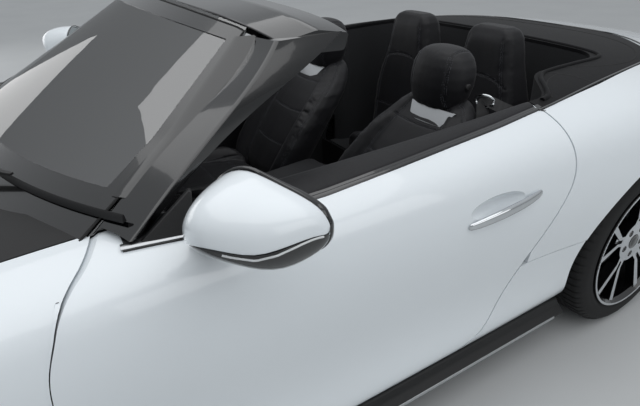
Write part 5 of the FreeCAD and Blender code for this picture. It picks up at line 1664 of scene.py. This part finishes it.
class CarTail(bpy.types.Operator):
    """Makes the tail lamps' bright lines, the bare plate and the diffuser's fins"""
    bl_idname = "roadster.tail"
    bl_label = "Tail Details"

    def execute(self, context):
        for side, sign in LEFT_AND_RIGHT:
            line = laid_line(TAIL_LAMP_LINE, on_tail, 0.0036, 0.0010)
            piece(f"tail_line_{side}", line, "red_lens", "chassis", sign)
        rear_y = max(on_tail(x, z)[0].y for x in (0, 0.25) for z in (0.50, 0.62))
        carrier, face = blank_plate(rear_y + 0.001, 0.56)
        piece("rear_plate_carrier", carrier, "satin_black", "chassis", bevel=0.001)
        piece("rear_plate_blank", face, "white_paint", "chassis", bevel=0.0008)
        fins = []
        outline = ((2.16, 0.232), (2.300, 0.236), (2.312, 0.262), (2.318, 0.318), (2.16, 0.318))
        for x in (-0.32, -0.16, 0, 0.16, 0.32):
            fins.append(loft([[Vector((x + a, y, z)) for y, z in outline] for a in (-0.003, 0.003)]))
        piece("diffuser_fins", joined(fins), "satin_black", "chassis")
        return {"FINISHED"}


class CarSkirts(bpy.types.Operator):
    """Makes the silver edge of the side skirts"""
    bl_idname = "roadster.skirts"
    bl_label = "Skirt Edges"

    def execute(self, context):
        for side, sign in LEFT_AND_RIGHT:
            line = [mm(912.5, y, 165) for y in range(-1000, 851, 50)]
            outward = Vector((1, 0, 0.2)).normalized()
            blade = sweep(line, flat_profile(0.005, -0.002, 0.0022), [outward] * len(line))
            piece(f"skirt_edge_{side}", blade, "satin_silver", "chassis", sign, bevel=0.0008)
        return {"FINISHED"}


# The stage

CAMERA_PLACE = (1.73051144, -0.651862123, 1.47500324)
CAMERA_YAW = 1.0281925
CAMERA_PITCH = -0.471209475
CAMERA_ROLL = -0.0265269538
FOCAL_PIXELS = 513.97
PHOTO_WIDTH = 640
SENSOR_WIDTH = 36.0
PRINCIPAL_OFFSET = (-2.14, -13.61)
FLOOR_REACH = 30
# Each lamp's name, place, aim, size in metres and power in watts
SOFTBOXES = (
    ("overhead_softbox", (0.6, 0.2, 4.2), (0.2, 0.2, 0.5), (4.5, 6.0), 80),
    ("side_softbox", (5.2, 1.6, 2.6), (0.5, 0.3, 0.6), (4.0, 2.4), 27),
    ("far_softbox", (-6.2, -3.4, 1.9), (0.0, -0.4, 1.0), (5.0, 2.6), 48),
)
SKY_STRENGTH = 0.7


def make_camera():
    data = bpy.data.cameras.new("photo_camera")
    camera = bpy.data.objects.new("photo_camera", data)
    bpy.context.scene.collection.objects.link(camera)
    level = math.cos(CAMERA_PITCH)
    forward = Vector((-math.sin(CAMERA_YAW) * level, math.cos(CAMERA_YAW) * level, math.sin(CAMERA_PITCH)))
    right = forward.cross(UP).normalized()
    up = right.cross(forward)
    c, s = math.cos(CAMERA_ROLL), math.sin(CAMERA_ROLL)
    turned_right = right * c + up * s
    turned_up = up * c - right * s
    turn = Matrix((turned_right, turned_up, -forward)).transposed().to_4x4()
    camera.matrix_world = Matrix.Translation(CAMERA_PLACE) @ turn
    data.sensor_width = SENSOR_WIDTH
    data.lens = FOCAL_PIXELS / PHOTO_WIDTH * data.sensor_width
    data.shift_x = -PRINCIPAL_OFFSET[0] / PHOTO_WIDTH
    data.shift_y = PRINCIPAL_OFFSET[1] / PHOTO_WIDTH
    data.clip_start = 0.05
    bpy.context.scene.camera = camera


def make_floor():
    mesh = bpy.data.meshes.new("studio_floor")
    corners = [(x, y, 0) for x, y in flat_profile(FLOOR_REACH, -FLOOR_REACH, FLOOR_REACH)]
    mesh.from_pydata(corners, [], [(0, 1, 2, 3)])
    floor = bpy.data.objects.new("studio_floor", mesh)
    bpy.context.scene.collection.objects.link(floor)
    # Sealed concrete: pale and matt, with slow cloudy changes of tone
    material, tree, shader, place = start("pale_floor_sealed_concrete")
    tone = noise(tree, place, 700, 4.0)
    tree.links.new(shade_range(tree, tone, "#BDBFC0", "#C9CBCB"), shader.inputs["Base Color"])
    shader.inputs["Roughness"].default_value = 0.8
    mesh.materials.append(material)


def make_light(name, place, target, size, power):
    data = bpy.data.lights.new(name, "AREA")
    data.shape = "RECTANGLE"
    data.size, data.size_y = size
    data.energy = power
    lamp = bpy.data.objects.new(name, data)
    lamp.location = place
    lamp.rotation_euler = (Vector(target) - Vector(place)).to_track_quat("-Z", "Y").to_euler()
    bpy.context.scene.collection.objects.link(lamp)


def make_world():
    world = bpy.data.worlds.new("plain_sky")
    world.use_nodes = True
    tree = world.node_tree
    tree.nodes.clear()
    up = add(tree, "ShaderNodeTexCoord").outputs["Generated"]
    height = add(tree, "ShaderNodeSeparateXYZ", {"Vector": up}).outputs["Z"]
    factor = add(tree, "ShaderNodeMapRange", {"Value": height, "From Min": -0.25, "From Max": 0.9}).outputs[0]
    tone = shade_range(tree, factor, "#8E9194", "#F2F6FA")
    light = add(tree, "ShaderNodeBackground", {"Color": tone, "Strength": SKY_STRENGTH}).outputs[0]
    add(tree, "ShaderNodeOutputWorld", {"Surface": light})
    bpy.context.scene.world = world


class RoadsterSizes(bpy.types.PropertyGroup):
    """Sizes of the dressed details"""
    stitch_pitch: bpy.props.FloatProperty(name="Stitch pitch", description="From one stitch to the next",
                                          default=0.006, min=0.003, max=0.02, unit="LENGTH")
    seam_depth: bpy.props.FloatProperty(name="Seam depth", description="How far a sewn line is drawn in",
                                        default=0.0028, min=0.0, max=0.01, unit="LENGTH")
    tread_depth: bpy.props.FloatProperty(name="Tread depth", description="Depth of the grooves in the tyres",
                                         default=0.007, min=0.001, max=0.01, unit="LENGTH")


def colour_property(name, hex_colour, description):
    return bpy.props.FloatVectorProperty(name=name, description=description, subtype="COLOR", size=4,
                                         min=0, max=1, default=linear(hex_colour))


class RoadsterColours(bpy.types.PropertyGroup):
    """Colours that an owner would choose"""
    paint: colour_property("Body paint", "#E9EFF3", "The lacquered body panels and mirror caps")
    leather: colour_property("Leather", "#17171A", "The seats, door cards and steering wheel")
    thread: colour_property("Thread", "#4A4C52", "The stitches beside the seams")
    wheel_faces: colour_property("Wheel faces", "#D3D6DA", "The bright faces of the spokes")


class CarStage(bpy.types.Operator):
    """Sets the floor, the soft studio light and the camera"""
    bl_idname = "roadster.stage"
    bl_label = "Floor, Light and Camera"

    def execute(self, context):
        scene = context.scene
        scene.view_settings.view_transform = "Standard"
        make_floor()
        make_world()
        for lamp in SOFTBOXES:
            make_light(*lamp)
        make_camera()
        return {"FINISHED"}


class CarFinishes(bpy.types.Operator):
    """Gives every solid of the frame its material"""
    bl_idname = "roadster.finishes"
    bl_label = "Finishes of the Solids"

    def execute(self, context):
        MATERIALS.update(make_materials(context.scene.roadster_colours))
        paint_nodes()
        return {"FINISHED"}


class CarPanel(bpy.types.Panel):
    """Lists the steps that dress the car"""
    bl_idname = "VIEW3D_PT_roadster"
    bl_label = "Roadster"
    bl_space_type = "VIEW_3D"
    bl_region_type = "UI"
    bl_category = "Roadster"

    def draw(self, context):
        for group in (context.scene.roadster_sizes, context.scene.roadster_colours):
            for name in group.bl_rna.properties.keys()[2:]:
                self.layout.prop(group, name)
        for step in STEPS:
            self.layout.operator(step.bl_idname)


STEPS = (CarStage, CarFinishes, CarWheels, CarMirrors, CarScreen, CarDoors, CarDeck, CarSkirts, CarNose,
         CarTail, CarCabin, CarSeats)
CLASSES = (RoadsterSizes, RoadsterColours) + STEPS + (CarPanel,)


def register():
    for cls in CLASSES:
        bpy.utils.register_class(cls)
    bpy.types.Scene.roadster_sizes = bpy.props.PointerProperty(type=RoadsterSizes)
    bpy.types.Scene.roadster_colours = bpy.props.PointerProperty(type=RoadsterColours)


def unregister():
    del bpy.types.Scene.roadster_sizes
    del bpy.types.Scene.roadster_colours
    for cls in reversed(CLASSES):
        bpy.utils.unregister_class(cls)


def main():
    register()
    for step in STEPS:
        group, name = step.bl_idname.split(".")
        getattr(getattr(bpy.ops, group), name)()


if __name__ == "__main__":
    main()
